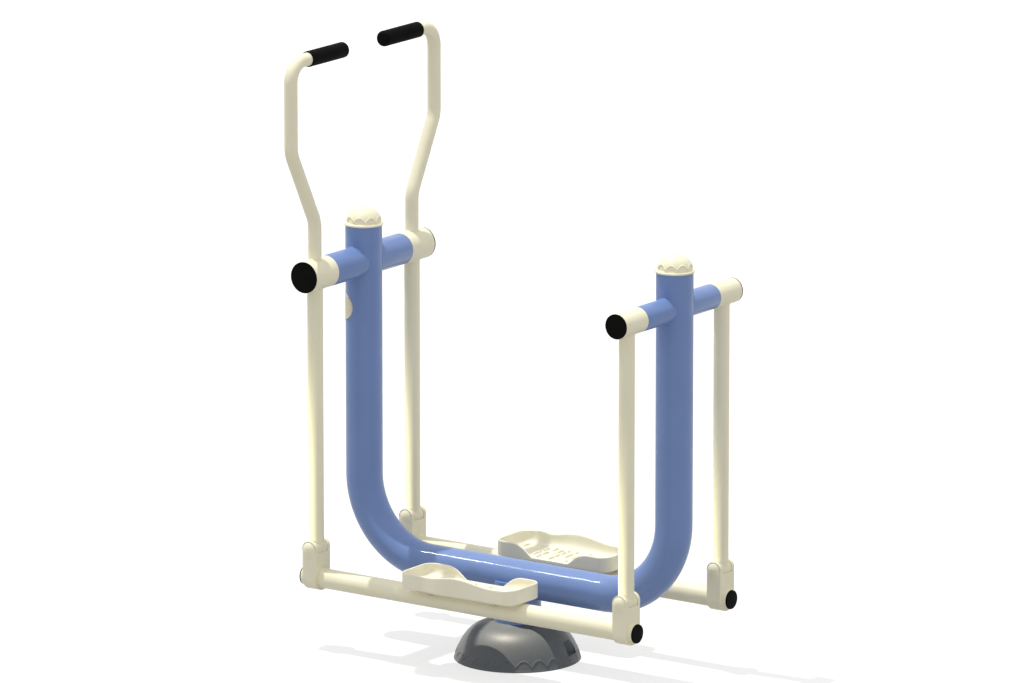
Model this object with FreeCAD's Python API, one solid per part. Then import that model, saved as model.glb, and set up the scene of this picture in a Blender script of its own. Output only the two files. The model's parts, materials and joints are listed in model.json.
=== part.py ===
import FreeCAD, Part
import math
import os

# Outdoor air walker. Millimetres, +Z up, origin on the ground at the middle of the pedestal.
# The user stands on the foot trays and faces -X, so the left side is -Y and the right side is +Y.

# Layout of the frame and of the swinging parts
POST_X = 453.0          # post axes are at -X (handle side) and +X
SIDE_Y = 197.5          # arms and foot bars hang in planes at -Y and +Y
MAIN_Z = 196.0          # axis of the level bottom run of the main tube
BEAM_Z = 917.5          # axis of both crossbeams, on which the arms turn
ARM_LENGTH = 672.0      # from a crossbeam axis down to a lower pivot axis
PIVOT_RISE = 73.0       # lower pivot axis above the foot bar axis
POST_RISE = 87.5        # post top above the crossbeam axis

# Main tube, bent into one U
MAIN_DIA = 88.9
MAIN_WALL = 3.2
MAIN_BEND_R = 197.5     # to the tube axis

# Pedestal and base
PEDESTAL_DIA = 114.3
PEDESTAL_WALL = 4.0
PEDESTAL_DROP = 2.0     # top rim of the pedestal below the main tube axis
SADDLE_PLATE_T = 6.0
FLANGE_MARGIN = 18.0    # flange's edge inside the cover's rim
FLANGE_T = 12.0
ANCHOR_EDGE = 25.0      # anchor hole's axis inside the flange's edge
ANCHOR_HOLE_DIA = 18.0
ANCHOR_COUNT = 4
GUSSET_T = 8.0
GUSSET_REACH = 45.0     # outwards from the pedestal
GUSSET_HEIGHT = 58.0

# Bell-shaped cover over the base, parted into two halves at the XZ plane
COVER_DIA = 306.0
COVER_HEIGHT = 93.5
COVER_WALL = 3.0
COVER_NECK_GAP = 0.3
COVER_FLANK = 93.7      # length of the flank's control arm
COVER_LEAN = 17.3       # degrees that the flank leans in
COVER_CROWN = 34.9      # length of the crown's control arm
COVER_PITCH = 22.6      # degrees that the crown falls away from the neck
COVER_PARTING = 0.2
POCKET_DEPTH = 41.0     # floor of a screw pocket inside the cover's rim
POCKET_RAMP_DEPTH = 23.0    # the same where the floor's ramp ends
POCKET_WALL = 6.0       # between the parting plane and a pocket
POCKET_FLAT = 11.0      # level stretch before the ramp
POCKET_WIDTH = 44.0
POCKET_LOW_Z = 21.0
POCKET_HIGH_Z = 54.0
LUG_DEPTH = 16.0
COVER_SCREW_STAND = 8.0     # screw axis outside the pocket's floor
COVER_SCREW_Z = 36.0
COVER_SCREW_DIA = 6.0
COVER_SCREW_LENGTH = 16.0

# Crossbeams, axles and hubs: handle side first, then the rear
FRONT_BEAM_DIA = 76.1
FRONT_BEAM_WALL = 3.6
FRONT_AXLE_DIA = 30.0
FRONT_THREAD_DIA = 24.0
FRONT_NUT_AF = 36.0
FRONT_NUT_H = 12.0
FRONT_BEARING_DIA = 62.0
FRONT_BEARING_W = 16.0
FRONT_RACE_DIA = 46.0
REAR_BEAM_DIA = 60.3
REAR_BEAM_WALL = 3.2
REAR_AXLE_DIA = 25.0
REAR_THREAD_DIA = 20.0
REAR_NUT_AF = 30.0
REAR_NUT_H = 10.0
REAR_BEARING_DIA = 52.0
REAR_BEARING_W = 15.0
REAR_RACE_DIA = 38.5
BEAM_PLATE_T = 6.0
COLLAR_STEP = 3.5       # axle collar beyond the bearing seat's radius
COLLAR_RUN = 5.0        # collar beyond the beam's end
HUB_SHOULDER = 4.0      # bearing shoulder inside a hub, radially
HUB_HALF = 46.5         # half the hub's length with its end cap
HUB_CAP_T = 3.8
HUB_CAP_SKIRT = 6.0
HUB_CAP_SKIRT_WALL = 3.0
HUB_GAP = 0.5           # between a hub and the beam's end
OUTER_BEARING_INSET = 16.5  # outer bearing behind the hub's open end

# Post caps
CAP_FLANGE_DIA = 94.8
CAP_FLANGE_T = 5.5
CAP_DOME_DIA = 85.0
CAP_DOME_H = 39.5
CAP_WALL = 3.0
CAP_SKIRT = 18.0

# Arms and lower pivots
ARM_DIA = 38.0
ARM_WALL = 3.0
BARREL_DIA = 39.0
BUSH_DIA = 22.0
BUSH_LENGTH = 15.0
BUSH_FLANGE_DIA = 30.0
BUSH_FLANGE_T = 1.6
PIN_DIA = 16.0
PIN_INSET = 0.1         # pin ends below the cheeks' faces
SIDE_PLAY = 0.4         # between a bush flange and a cheek
CHEEK_T = 9.0
FORK_LENGTH = 40.0      # along the foot bar
FORK_HOOD_R = 15.0
FORK_SEAT_GAP = 1.2     # round the barrel, in the slot's hollow floor
FORK_LIP_DROP = 10.0    # lips of that floor below the pivot axis

# Handles
HANDLE_DIA = 32.5
HANDLE_WALL = 2.6
HANDLE_OFFSET = 92.8    # the upper run stands this far outside the arm
HANDLE_KNEE_RISE = 129.5
HANDLE_TOP_KNEE_RISE = 309.5
HANDLE_RISE = 528.3     # grip axis above the crossbeam axis
HANDLE_KNEE_R = 70.0
HANDLE_ELBOW_R = 48.0
GRIP_DIA = 38.3
GRIP_INNER_Y = 76.5     # closed end, from the middle plane
GRIP_OUTER_Y = 224.0
GRIP_END_WALL = 5.0
GRIP_END_R = 8.0
GRIP_MOUTH_R = 2.0

# Foot bars
BAR_DIA = 48.3
BAR_WALL = 3.2
BAR_OVERHANG = 10.0     # bar end beyond a fork
PLUG_DIA = 46.0
PLUG_T = 4.0
PLUG_DEPTH = 22.0
PLUG_WALL = 3.0

# Foot trays and what fastens them. Rim heights are above the underside.
TRAY_HALF_LENGTH = 166.0
TRAY_OUT_Y = 67.5       # outboard side at the toe, from the bar's axis
TRAY_WAIST_Y = 63.5
TRAY_WAIST_X = -91.0
TRAY_SHOULDER_X = -60.0
TRAY_MIDDLE_Y = 65.5
TRAY_HEEL_Y = 62.0
TRAY_IN_Y = 66.0        # inboard side
TRAY_TOE_R = 35.0
TRAY_CORNER_R = 29.0
TRAY_WALL = 4.0
TRAY_FLOOR_T = 7.0
TRAY_RIM_H = 38.0
TRAY_HUMP_H = 47.0      # middle of the outboard rim
TRAY_HUMP_X = -4.0
TRAY_CREST_X = -108.0   # slight rise before the hump
TRAY_DIP_X = 95.0
TRAY_RIPPLE = 1.2       # rise of the crest, and half the fall of the dip
TRAY_NOTCH_H = 9.0      # sill of the inboard entry
TRAY_NOTCH_HALF = 53.0
TRAY_NOTCH_RAMP = 36.4  # length of the slope up from the sill
TRAY_NOTCH_FOOT_R = 8.0
TRAY_NOTCH_TOP_R = 64.0
STRAP_X = 90.0
STRAP_LENGTH = 30.0
STRAP_WIDTH = 90.0
STRAP_T = 6.0
STRAP_SEAT = 1.5        # the strap is hollowed this deep over the bar
TRAY_BOLT_Y = 32.0
TRAY_BOLT_DIA = 8.0
TRAY_BOLT_HEAD_DIA = 16.0
TRAY_BOLT_HEAD_H = 4.0
TRAY_NUT_AF = 13.0
TRAY_NUT_H = 6.5
BOLT_CLEARANCE = 0.5    # radial, in a bolt's hole
BOLT_TAIL = 2.0         # thread beyond a nut

# Blank label plate, rolled round the front of the handle-side post
LABEL_Z = 806.0
LABEL_HEIGHT = 77.0
LABEL_ARC = 137.0       # width measured round the post
LABEL_T = 1.5
LABEL_SQUARENESS = 2.3  # an ellipse is 2
LABEL_POINTS = 48
RIVET_DIA = 4.8
RIVET_HEAD_DIA = 8.0
RIVET_HEAD_H = 1.6
RIVET_INSET = 7.5

# Clearances
SEAT = 0.05             # between fixed pieces of one body, radially
WELD = 0.1              # between a coped tube and what it is welded to
RUN = 0.05              # running fit, radially

# Places that follow from the layout
PIVOT_Z = BEAM_Z - ARM_LENGTH
BAR_Z = PIVOT_Z - PIVOT_RISE
POST_TOP_Z = BEAM_Z + POST_RISE
BARREL_LENGTH = ARM_DIA
FORK_GAP = BARREL_LENGTH + 2 * (BUSH_FLANGE_T + SIDE_PLAY)
FORK_WIDTH = FORK_GAP + 2 * CHEEK_T
HUB_INNER_Y = SIDE_Y - HUB_HALF
HUB_OUTER_Y = SIDE_Y + HUB_HALF
BEAM_HALF = HUB_INNER_Y - HUB_GAP
HUB_OPEN_Y = HUB_OUTER_Y - HUB_CAP_T
BAR_HALF = POST_X + FORK_LENGTH / 2 + BAR_OVERHANG
TRAY_Z = BAR_Z + BAR_DIA / 2 + STRAP_T - STRAP_SEAT
PEDESTAL_TOP_Z = MAIN_Z - PEDESTAL_DROP
COVER_NECK_R = PEDESTAL_DIA / 2 + COVER_NECK_GAP
FLANGE_R = COVER_DIA / 2 - FLANGE_MARGIN
ANCHOR_R = FLANGE_R - ANCHOR_EDGE
POCKET_R = COVER_DIA / 2 - POCKET_DEPTH
POCKET_RAMP_R = COVER_DIA / 2 - POCKET_RAMP_DEPTH
COVER_SCREW_R = POCKET_R + COVER_SCREW_STAND

V = FreeCAD.Vector
X_AXIS = V(1, 0, 0)
Y_AXIS = V(0, 1, 0)
Z_AXIS = V(0, 0, 1)
SIDES = {"left": -1, "right": 1}


def save(name, *solids):
    """Writes one node: a solid, or a group of separate solids."""
    shape = solids[0] if len(solids) == 1 else Part.makeCompound(list(solids))
    found = shape.Solids
    if len(found) != len(solids) or not shape.isValid():
        raise ValueError(name + ": expected " + str(len(solids)) + " valid solids, got " + str(len(found)))
    shape.exportStep("parts/" + name + ".step")


def single(shape):
    """The one solid that a boolean result holds."""
    merged = shape.removeSplitter()
    if len(merged.Solids) != 1:
        raise ValueError("expected one solid, got " + str(len(merged.Solids)))
    return merged.Solids[0]


def rod(start, axis, radius, length):
    return Part.makeCylinder(radius, length, start, axis)


def ring(start, axis, outer_r, inner_r, length):
    return single(rod(start, axis, outer_r, length).cut(rod(start, axis, inner_r, length)))


def tube(start, axis, dia, wall, length):
    return ring(start, axis, dia / 2, dia / 2 - wall, length)


def box(low, high):
    return Part.makeBox(high.x - low.x, high.y - low.y, high.z - low.z, low)


def turned(profile, origin, axis):
    """Turns a closed profile of (radius, distance along the axis) points about that axis."""
    side = Z_AXIS if abs(axis.z) < 0.5 else X_AXIS
    points = [origin + side * r + axis * d for r, d in profile]
    face = Part.Face(Part.makePolygon(points + points[:1]))
    return single(face.revolve(origin, axis, 360))


def hexagon(start, axis, across_flats, height, bore_r):
    side = Z_AXIS if abs(axis.z) < 0.5 else X_AXIS
    other = axis.cross(side)
    reach = across_flats / math.sqrt(3)
    points = []
    for step in range(6):
        angle = math.radians(60 * step)
        points.append(start + side * (reach * math.cos(angle)) + other * (reach * math.sin(angle)))
    prism = Part.Face(Part.makePolygon(points + points[:1])).extrude(axis * height)
    return single(prism.cut(rod(start, axis, bore_r, height)))


def bent_path(corners, bend_radii):
    """Straight runs joined by tangent arcs, one radius for each inner corner."""
    edges = []
    start = corners[0]
    for before, corner, after, radius in zip(corners, corners[1:], corners[2:], bend_radii):
        back = (before - corner).normalize()
        ahead = (after - corner).normalize()
        half = back.getAngle(ahead) / 2
        reach = radius / math.tan(half)
        centre = corner + (back + ahead).normalize() * (radius / math.sin(half))
        enter = corner + back * reach
        leave = corner + ahead * reach
        middle = centre + (corner - centre).normalize() * radius
        edges.append(Part.LineSegment(start, enter).toShape())
        edges.append(Part.Arc(enter, middle, leave).toShape())
        start = leave
    edges.append(Part.LineSegment(start, corners[-1]).toShape())
    return Part.Wire(edges)


def swept_rod(corners, bend_radii, radius):
    first = corners[1] - corners[0]
    section = Part.Wire(Part.makeCircle(radius, corners[0], first))
    return bent_path(corners, bend_radii).makePipeShell([section], True, False)


def swept_tube(corners, bend_radii, dia, wall):
    outer = swept_rod(corners, bend_radii, dia / 2)
    inner = swept_rod(corners, bend_radii, dia / 2 - wall)
    return outer.cut(inner)


# The U-shaped frame and its base

def main_tube_corners():
    return [
        V(-POST_X, 0, POST_TOP_Z),
        V(-POST_X, 0, MAIN_Z),
        V(POST_X, 0, MAIN_Z),
        V(POST_X, 0, POST_TOP_Z),
    ]


def u_frame():
    shape = swept_tube(main_tube_corners(), [MAIN_BEND_R, MAIN_BEND_R], MAIN_DIA, MAIN_WALL)
    for x, dia in ((-POST_X, FRONT_BEAM_DIA), (POST_X, REAR_BEAM_DIA)):
        shape = shape.cut(rod(V(x, -MAIN_DIA, BEAM_Z), Y_AXIS, dia / 2 + WELD, 2 * MAIN_DIA))
    return single(shape)


def main_run(clearance):
    """The level run of the main tube as a solid rod, for coping what meets it."""
    return rod(V(-POST_X, 0, MAIN_Z), X_AXIS, MAIN_DIA / 2 + clearance, 2 * POST_X)


def pedestal_tube():
    shape = tube(V(0, 0, FLANGE_T), Z_AXIS, PEDESTAL_DIA, PEDESTAL_WALL, PEDESTAL_TOP_Z - FLANGE_T)
    return single(shape.cut(main_run(WELD)))


def saddle_plates():
    """Two segments that close the pedestal's rim beside the main tube."""
    radius = PEDESTAL_DIA / 2 - PEDESTAL_WALL - SEAT
    low = PEDESTAL_TOP_Z - SADDLE_PLATE_T
    plates = rod(V(0, 0, low), Z_AXIS, radius, SADDLE_PLATE_T).cut(main_run(WELD))
    return plates.Solids


def base_flange():
    shape = rod(V(0, 0, 0), Z_AXIS, FLANGE_R, FLANGE_T)
    for hole in range(ANCHOR_COUNT):
        angle = math.radians(45 + 360 * hole / ANCHOR_COUNT)
        place = V(math.cos(angle), math.sin(angle), 0) * ANCHOR_R
        shape = shape.cut(rod(place, Z_AXIS, ANCHOR_HOLE_DIA / 2, FLANGE_T))
    return single(shape)


def base_gussets():
    """Upright triangular ribs between the anchor holes."""
    gussets = []
    inner = PEDESTAL_DIA / 2 + WELD
    core = rod(V(0, 0, 0), Z_AXIS, inner, MAIN_Z)
    outline = [
        V(0, -GUSSET_T / 2, FLANGE_T),
        V(inner + GUSSET_REACH, -GUSSET_T / 2, FLANGE_T),
        V(inner + GUSSET_REACH, -GUSSET_T / 2, FLANGE_T + GUSSET_T),
        V(inner + GUSSET_T, -GUSSET_T / 2, FLANGE_T + GUSSET_HEIGHT),
        V(0, -GUSSET_T / 2, FLANGE_T + GUSSET_HEIGHT),
    ]
    for rib in range(ANCHOR_COUNT):
        blade = Part.Face(Part.makePolygon(outline + outline[:1])).extrude(Y_AXIS * GUSSET_T)
        blade.rotate(V(0, 0, 0), Z_AXIS, 360 * rib / ANCHOR_COUNT)
        gussets.append(single(blade.cut(core)))
    return gussets


def cover_curve(inset):
    """The bell's flank and crown as one smooth curve, from the ground to the neck."""
    base_r = COVER_DIA / 2 - inset
    top = COVER_HEIGHT - inset
    lean = math.radians(COVER_LEAN)
    pitch = math.radians(COVER_PITCH)
    curve = Part.BezierCurve()
    curve.setPoles([
        V(base_r, 0, 0),
        V(base_r - COVER_FLANK * math.sin(lean), 0, COVER_FLANK * math.cos(lean)),
        V(COVER_NECK_R + COVER_CROWN * math.cos(pitch), 0, top - COVER_CROWN * math.sin(pitch)),
        V(COVER_NECK_R, 0, top),
    ])
    return curve.toShape(), base_r, top


def bell(inset):
    curve, base_r, top = cover_curve(inset)
    loop = Part.Wire([
        curve,
        Part.LineSegment(V(COVER_NECK_R, 0, top), V(COVER_NECK_R, 0, 0)).toShape(),
        Part.LineSegment(V(COVER_NECK_R, 0, 0), V(base_r, 0, 0)).toShape(),
    ])
    return single(Part.Face(loop).revolve(V(0, 0, 0), Z_AXIS, 360))


def cover_half(side):
    """Half of the bell-shaped shell, with a screw pocket at one end and a threaded lug at the other."""
    outside = bell(0)
    start_y = COVER_PARTING / 2
    low_z = POCKET_LOW_Z - COVER_WALL
    high_z = POCKET_HIGH_Z + COVER_WALL
    inner_r = POCKET_R - COVER_WALL
    far = COVER_DIA
    end_y = POCKET_WALL + POCKET_WIDTH
    shell = outside.cut(bell(COVER_WALL)).common(box(V(-far, start_y, 0), V(far, far, far)))
    boss = box(V(inner_r, start_y, low_z), V(far, end_y + COVER_WALL, high_z)).common(outside)
    lug = box(V(-far, start_y, low_z), V(-inner_r, LUG_DEPTH, high_z)).common(outside)
    plan = [
        V(POCKET_R, POCKET_WALL, POCKET_LOW_Z),
        V(far, POCKET_WALL, POCKET_LOW_Z),
        V(far, end_y, POCKET_LOW_Z),
        V(POCKET_RAMP_R, end_y, POCKET_LOW_Z),
        V(POCKET_R, POCKET_WALL + POCKET_FLAT, POCKET_LOW_Z),
    ]
    pocket = Part.Face(Part.makePolygon(plan + plan[:1])).extrude(Z_AXIS * (POCKET_HIGH_Z - POCKET_LOW_Z))
    hole = rod(V(COVER_SCREW_R, 0, COVER_SCREW_Z), Y_AXIS, COVER_SCREW_DIA / 2 + BOLT_CLEARANCE, end_y)
    thread_depth = LUG_DEPTH - COVER_WALL
    thread = rod(V(-COVER_SCREW_R, 0, COVER_SCREW_Z), Y_AXIS, COVER_SCREW_DIA / 2 + SEAT, thread_depth)
    half = single(shell.fuse([boss, lug]).cut(pocket).cut(hole).cut(thread))
    if side < 0:
        half.rotate(V(0, 0, 0), Z_AXIS, 180)
    return half


def cover_screw(side):
    """A pan-head screw from one half's pocket into the other half's lug."""
    radius = COVER_SCREW_DIA / 2
    profile = [
        (0, POCKET_WALL - COVER_SCREW_LENGTH),
        (radius, POCKET_WALL - COVER_SCREW_LENGTH),
        (radius, POCKET_WALL),
        (2 * radius, POCKET_WALL),
        (2 * radius, POCKET_WALL + radius),
        (1.5 * radius, POCKET_WALL + 1.3 * radius),
        (0, POCKET_WALL + 1.3 * radius),
    ]
    return turned(profile, V(side * COVER_SCREW_R, 0, COVER_SCREW_Z), Y_AXIS * side)


def post_cap(x):
    """A domed cap with a thin flange on the post's end and a skirt inside the tube."""
    dome_r = CAP_DOME_DIA / 2
    skirt_r = MAIN_DIA / 2 - MAIN_WALL - SEAT
    base = POST_TOP_Z + CAP_FLANGE_T
    dome = Part.makeSphere(dome_r, V(0, 0, 0), Z_AXIS, 0, 90)
    flatten = FreeCAD.Matrix()
    flatten.scale(1, 1, CAP_DOME_H / dome_r)
    hollow = FreeCAD.Matrix()
    hollow.scale((dome_r - CAP_WALL) / dome_r, (dome_r - CAP_WALL) / dome_r, (CAP_DOME_H - CAP_WALL) / dome_r)
    outer = dome.transformGeometry(flatten)
    inner = dome.transformGeometry(hollow)
    outer.translate(V(x, 0, base))
    inner.translate(V(x, 0, base))
    shape = outer.fuse(rod(V(x, 0, POST_TOP_Z), Z_AXIS, CAP_FLANGE_DIA / 2, CAP_FLANGE_T))
    shape = shape.fuse(rod(V(x, 0, POST_TOP_Z - CAP_SKIRT), Z_AXIS, skirt_r, CAP_SKIRT))
    shape = shape.cut(inner)
    well = CAP_SKIRT + CAP_FLANGE_T
    return single(shape.cut(rod(V(x, 0, POST_TOP_Z - CAP_SKIRT), Z_AXIS, skirt_r - CAP_WALL, well)))


def label_inner_r():
    return MAIN_DIA / 2 + SEAT


def face_user(shape):
    """Moves a shape made round the Z axis, on its +X side, to the front of the handle-side post."""
    shape.rotate(V(0, 0, 0), Z_AXIS, 180)
    shape.translate(V(-POST_X, 0, LABEL_Z))
    return shape


def oval_loop(radius):
    """The label's outline, a squared oval, rolled round a cylinder of this radius."""
    points = []
    power = 2 / LABEL_SQUARENESS
    for step in range(LABEL_POINTS):
        turn = 2 * math.pi * step / LABEL_POINTS
        across = math.copysign(abs(math.cos(turn)) ** power, math.cos(turn)) * LABEL_ARC / 2
        up = math.copysign(abs(math.sin(turn)) ** power, math.sin(turn)) * LABEL_HEIGHT / 2
        angle = across / label_inner_r()
        points.append(V(radius * math.cos(angle), radius * math.sin(angle), up))
    curve = Part.BSplineCurve()
    curve.interpolate(points, PeriodicFlag=True)
    return curve.toShape()


def rivet_rays():
    angle = (LABEL_ARC / 2 - RIVET_INSET) / label_inner_r()
    return [V(math.cos(turn), math.sin(turn), 0) for turn in (-angle, angle)]


def label_plate():
    """A thin oval plate rolled round the post, with a rivet hole at each end."""
    inner_r = label_inner_r()
    outer_r = inner_r + LABEL_T
    near = oval_loop(inner_r / 2)
    far = oval_loop(2 * inner_r)
    side = Part.makeRuledSurface(near, far)
    prism = Part.Solid(Part.Shell([side, Part.makeFilledFace([near]), Part.makeFilledFace([far])]))
    plate = ring(V(0, 0, -LABEL_HEIGHT), Z_AXIS, outer_r, inner_r, 2 * LABEL_HEIGHT).common(prism)
    for ray in rivet_rays():
        plate = plate.cut(rod(ray * (inner_r - LABEL_T), ray, RIVET_DIA / 2 + SEAT, 3 * LABEL_T))
    return face_user(single(plate))


def label_rivets():
    rivets = []
    for ray in rivet_rays():
        head = rod(ray * (label_inner_r() + LABEL_T), ray, RIVET_HEAD_DIA / 2, RIVET_HEAD_H)
        shank = rod(ray * (label_inner_r() + SEAT), ray, RIVET_DIA / 2, LABEL_T)
        rivets.append(face_user(single(head.fuse(shank))))
    return rivets


# Crossbeams, axles and what turns on them

class Hub:
    """Sizes of one crossbeam with its axle, bearings and hubs."""

    def __init__(self, x, beam, axle, thread, nut, bearing):
        self.x = x
        self.beam_dia, self.beam_wall = beam
        self.axle_dia = axle
        self.thread_dia = thread
        self.nut_af, self.nut_h = nut
        self.bearing_dia, self.bearing_w, self.race_dia = bearing
        self.inner_bearing_y = BEAM_HALF + COLLAR_RUN
        self.outer_bearing_y = HUB_OPEN_Y - OUTER_BEARING_INSET - self.bearing_w

    def at(self, y):
        return V(self.x, y, BEAM_Z)


FRONT = Hub(
    -POST_X,
    (FRONT_BEAM_DIA, FRONT_BEAM_WALL),
    FRONT_AXLE_DIA,
    FRONT_THREAD_DIA,
    (FRONT_NUT_AF, FRONT_NUT_H),
    (FRONT_BEARING_DIA, FRONT_BEARING_W, FRONT_RACE_DIA),
)
REAR = Hub(
    POST_X,
    (REAR_BEAM_DIA, REAR_BEAM_WALL),
    REAR_AXLE_DIA,
    REAR_THREAD_DIA,
    (REAR_NUT_AF, REAR_NUT_H),
    (REAR_BEARING_DIA, REAR_BEARING_W, REAR_RACE_DIA),
)


def crossbeam(hub):
    return tube(hub.at(-BEAM_HALF), Y_AXIS, hub.beam_dia, hub.beam_wall, 2 * BEAM_HALF)


def beam_end_plates(hub):
    outer_r = hub.beam_dia / 2 - hub.beam_wall - SEAT
    inner_r = hub.axle_dia / 2 + SEAT
    plates = []
    for y in (-BEAM_HALF, BEAM_HALF - BEAM_PLATE_T):
        plates.append(ring(hub.at(y), Y_AXIS, outer_r, inner_r, BEAM_PLATE_T))
    return plates


def axle(hub):
    """A shaft through the whole beam, with a collar, a bearing run and a thread at each end."""
    seat_end = hub.outer_bearing_y + hub.bearing_w
    thread_end = seat_end + hub.nut_h + BOLT_TAIL
    collar_r = hub.axle_dia / 2 + COLLAR_STEP
    shape = rod(hub.at(-thread_end), Y_AXIS, hub.thread_dia / 2, 2 * thread_end)
    shape = shape.fuse(rod(hub.at(-seat_end), Y_AXIS, hub.axle_dia / 2, 2 * seat_end))
    for y in (-hub.inner_bearing_y, BEAM_HALF):
        shape = shape.fuse(rod(hub.at(y), Y_AXIS, collar_r, COLLAR_RUN))
    return single(shape)


def bearing_starts(hub, side):
    """Low-Y faces of a side's two bearings."""
    starts = (hub.inner_bearing_y, hub.outer_bearing_y)
    if side > 0:
        return starts
    return tuple(-start - hub.bearing_w for start in starts)


def inner_races(hub, side):
    outer_r = hub.race_dia / 2
    inner_r = hub.axle_dia / 2 + SEAT
    return [ring(hub.at(y), Y_AXIS, outer_r, inner_r, hub.bearing_w) for y in bearing_starts(hub, side)]


def outer_races(hub, side):
    outer_r = hub.bearing_dia / 2 - SEAT
    inner_r = hub.race_dia / 2 + RUN
    return [ring(hub.at(y), Y_AXIS, outer_r, inner_r, hub.bearing_w) for y in bearing_starts(hub, side)]


def axle_nut(hub, side):
    start = hub.outer_bearing_y + hub.bearing_w
    axis = Y_AXIS * side
    return hexagon(hub.at(side * start), axis, hub.nut_af, hub.nut_h, hub.thread_dia / 2 + SEAT)


def hub_sleeve(hub, side):
    """A turned sleeve with a bearing seat at each end and a shoulder between them."""
    outer_r = hub.beam_dia / 2
    seat_r = hub.bearing_dia / 2
    waist_r = seat_r - HUB_SHOULDER
    inner_seat = hub.inner_bearing_y + hub.bearing_w
    profile = [
        (outer_r, HUB_INNER_Y),
        (outer_r, HUB_OPEN_Y),
        (seat_r, HUB_OPEN_Y),
        (seat_r, hub.outer_bearing_y),
        (waist_r, hub.outer_bearing_y),
        (waist_r, inner_seat),
        (seat_r, inner_seat),
        (seat_r, HUB_INNER_Y),
    ]
    return turned(profile, hub.at(0), Y_AXIS * side)


def hub_cap(hub, side):
    """A flat disc on the hub's open end with a skirt pushed into it."""
    outer_r = hub.beam_dia / 2
    skirt_r = hub.bearing_dia / 2 - SEAT
    profile = [
        (0, HUB_OPEN_Y),
        (skirt_r - HUB_CAP_SKIRT_WALL, HUB_OPEN_Y),
        (skirt_r - HUB_CAP_SKIRT_WALL, HUB_OPEN_Y - HUB_CAP_SKIRT),
        (skirt_r, HUB_OPEN_Y - HUB_CAP_SKIRT),
        (skirt_r, HUB_OPEN_Y),
        (outer_r, HUB_OPEN_Y),
        (outer_r, HUB_OUTER_Y),
        (0, HUB_OUTER_Y),
    ]
    return turned(profile, hub.at(0), Y_AXIS * side)


# Arms, handles and lower pivots

def swing_arm(hub, side):
    """A tube from the hub down to a bored cross barrel for the lower pivot."""
    y = side * SIDE_Y
    bore_r = BUSH_DIA / 2
    barrel_start = V(hub.x, y - BARREL_LENGTH / 2, PIVOT_Z)
    barrel = rod(barrel_start, Y_AXIS, BARREL_DIA / 2, BARREL_LENGTH)
    hub_rod = rod(hub.at(y - HUB_HALF), Y_AXIS, hub.beam_dia / 2 + WELD, 2 * HUB_HALF)
    stem = rod(V(hub.x, y, PIVOT_Z), Z_AXIS, ARM_DIA / 2, ARM_LENGTH).cut(hub_rod)
    hollow_start = PIVOT_Z + BARREL_DIA / 2
    hollow = rod(V(hub.x, y, hollow_start), Z_AXIS, ARM_DIA / 2 - ARM_WALL, BEAM_Z - hollow_start)
    shape = barrel.fuse(stem).cut(hollow)
    return single(shape.cut(rod(barrel_start, Y_AXIS, bore_r, BARREL_LENGTH)))


def pivot_bushes(hub, side):
    """Two flanged bushes, one pushed into each end of an arm's barrel."""
    bushes = []
    for end in (-1, 1):
        face = V(hub.x, side * SIDE_Y + end * BARREL_LENGTH / 2, PIVOT_Z)
        profile = [
            (PIN_DIA / 2 + RUN, -BUSH_LENGTH),
            (BUSH_DIA / 2 - SEAT, -BUSH_LENGTH),
            (BUSH_DIA / 2 - SEAT, 0),
            (BUSH_FLANGE_DIA / 2, 0),
            (BUSH_FLANGE_DIA / 2, BUSH_FLANGE_T),
            (PIN_DIA / 2 + RUN, BUSH_FLANGE_T),
        ]
        bushes.append(turned(profile, face, Y_AXIS * end))
    return bushes


def handle_corners(side):
    inner = side * SIDE_Y
    outer = side * (SIDE_Y + HANDLE_OFFSET)
    return [
        FRONT.at(inner),
        V(FRONT.x, inner, BEAM_Z + HANDLE_KNEE_RISE),
        V(FRONT.x, outer, BEAM_Z + HANDLE_TOP_KNEE_RISE),
        V(FRONT.x, outer, BEAM_Z + HANDLE_RISE),
        V(FRONT.x, side * (GRIP_INNER_Y + GRIP_END_WALL), BEAM_Z + HANDLE_RISE),
    ]


def handle(side):
    radii = [HANDLE_KNEE_R, HANDLE_KNEE_R, HANDLE_ELBOW_R]
    shape = swept_tube(handle_corners(side), radii, HANDLE_DIA, HANDLE_WALL)
    hub_start = FRONT.at(side * SIDE_Y - HUB_HALF)
    return single(shape.cut(rod(hub_start, Y_AXIS, FRONT_BEAM_DIA / 2 + WELD, 2 * HUB_HALF)))


def grip(side):
    """A rubber sleeve with a closed, rounded inner end."""
    start = V(FRONT.x, side * GRIP_OUTER_Y, BEAM_Z + HANDLE_RISE)
    inwards = Y_AXIS * -side
    length = GRIP_OUTER_Y - GRIP_INNER_Y
    body = rod(start, inwards, GRIP_DIA / 2, length)
    ends = sorted(body.Edges, key=lambda edge: abs(edge.BoundBox.Center.y))
    rounds = [edge for edge in ends if edge.BoundBox.YLength < SEAT]
    body = body.makeFillet(GRIP_END_R, [rounds[0]])
    mouth = [
        edge for edge in body.Edges
        if edge.BoundBox.YLength < SEAT and abs(edge.BoundBox.Center.y) > GRIP_OUTER_Y - SEAT
    ]
    body = body.makeFillet(GRIP_MOUTH_R, mouth)
    return single(body.cut(rod(start, inwards, HANDLE_DIA / 2 + SEAT, length - GRIP_END_WALL)))


# Foot bars

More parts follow.
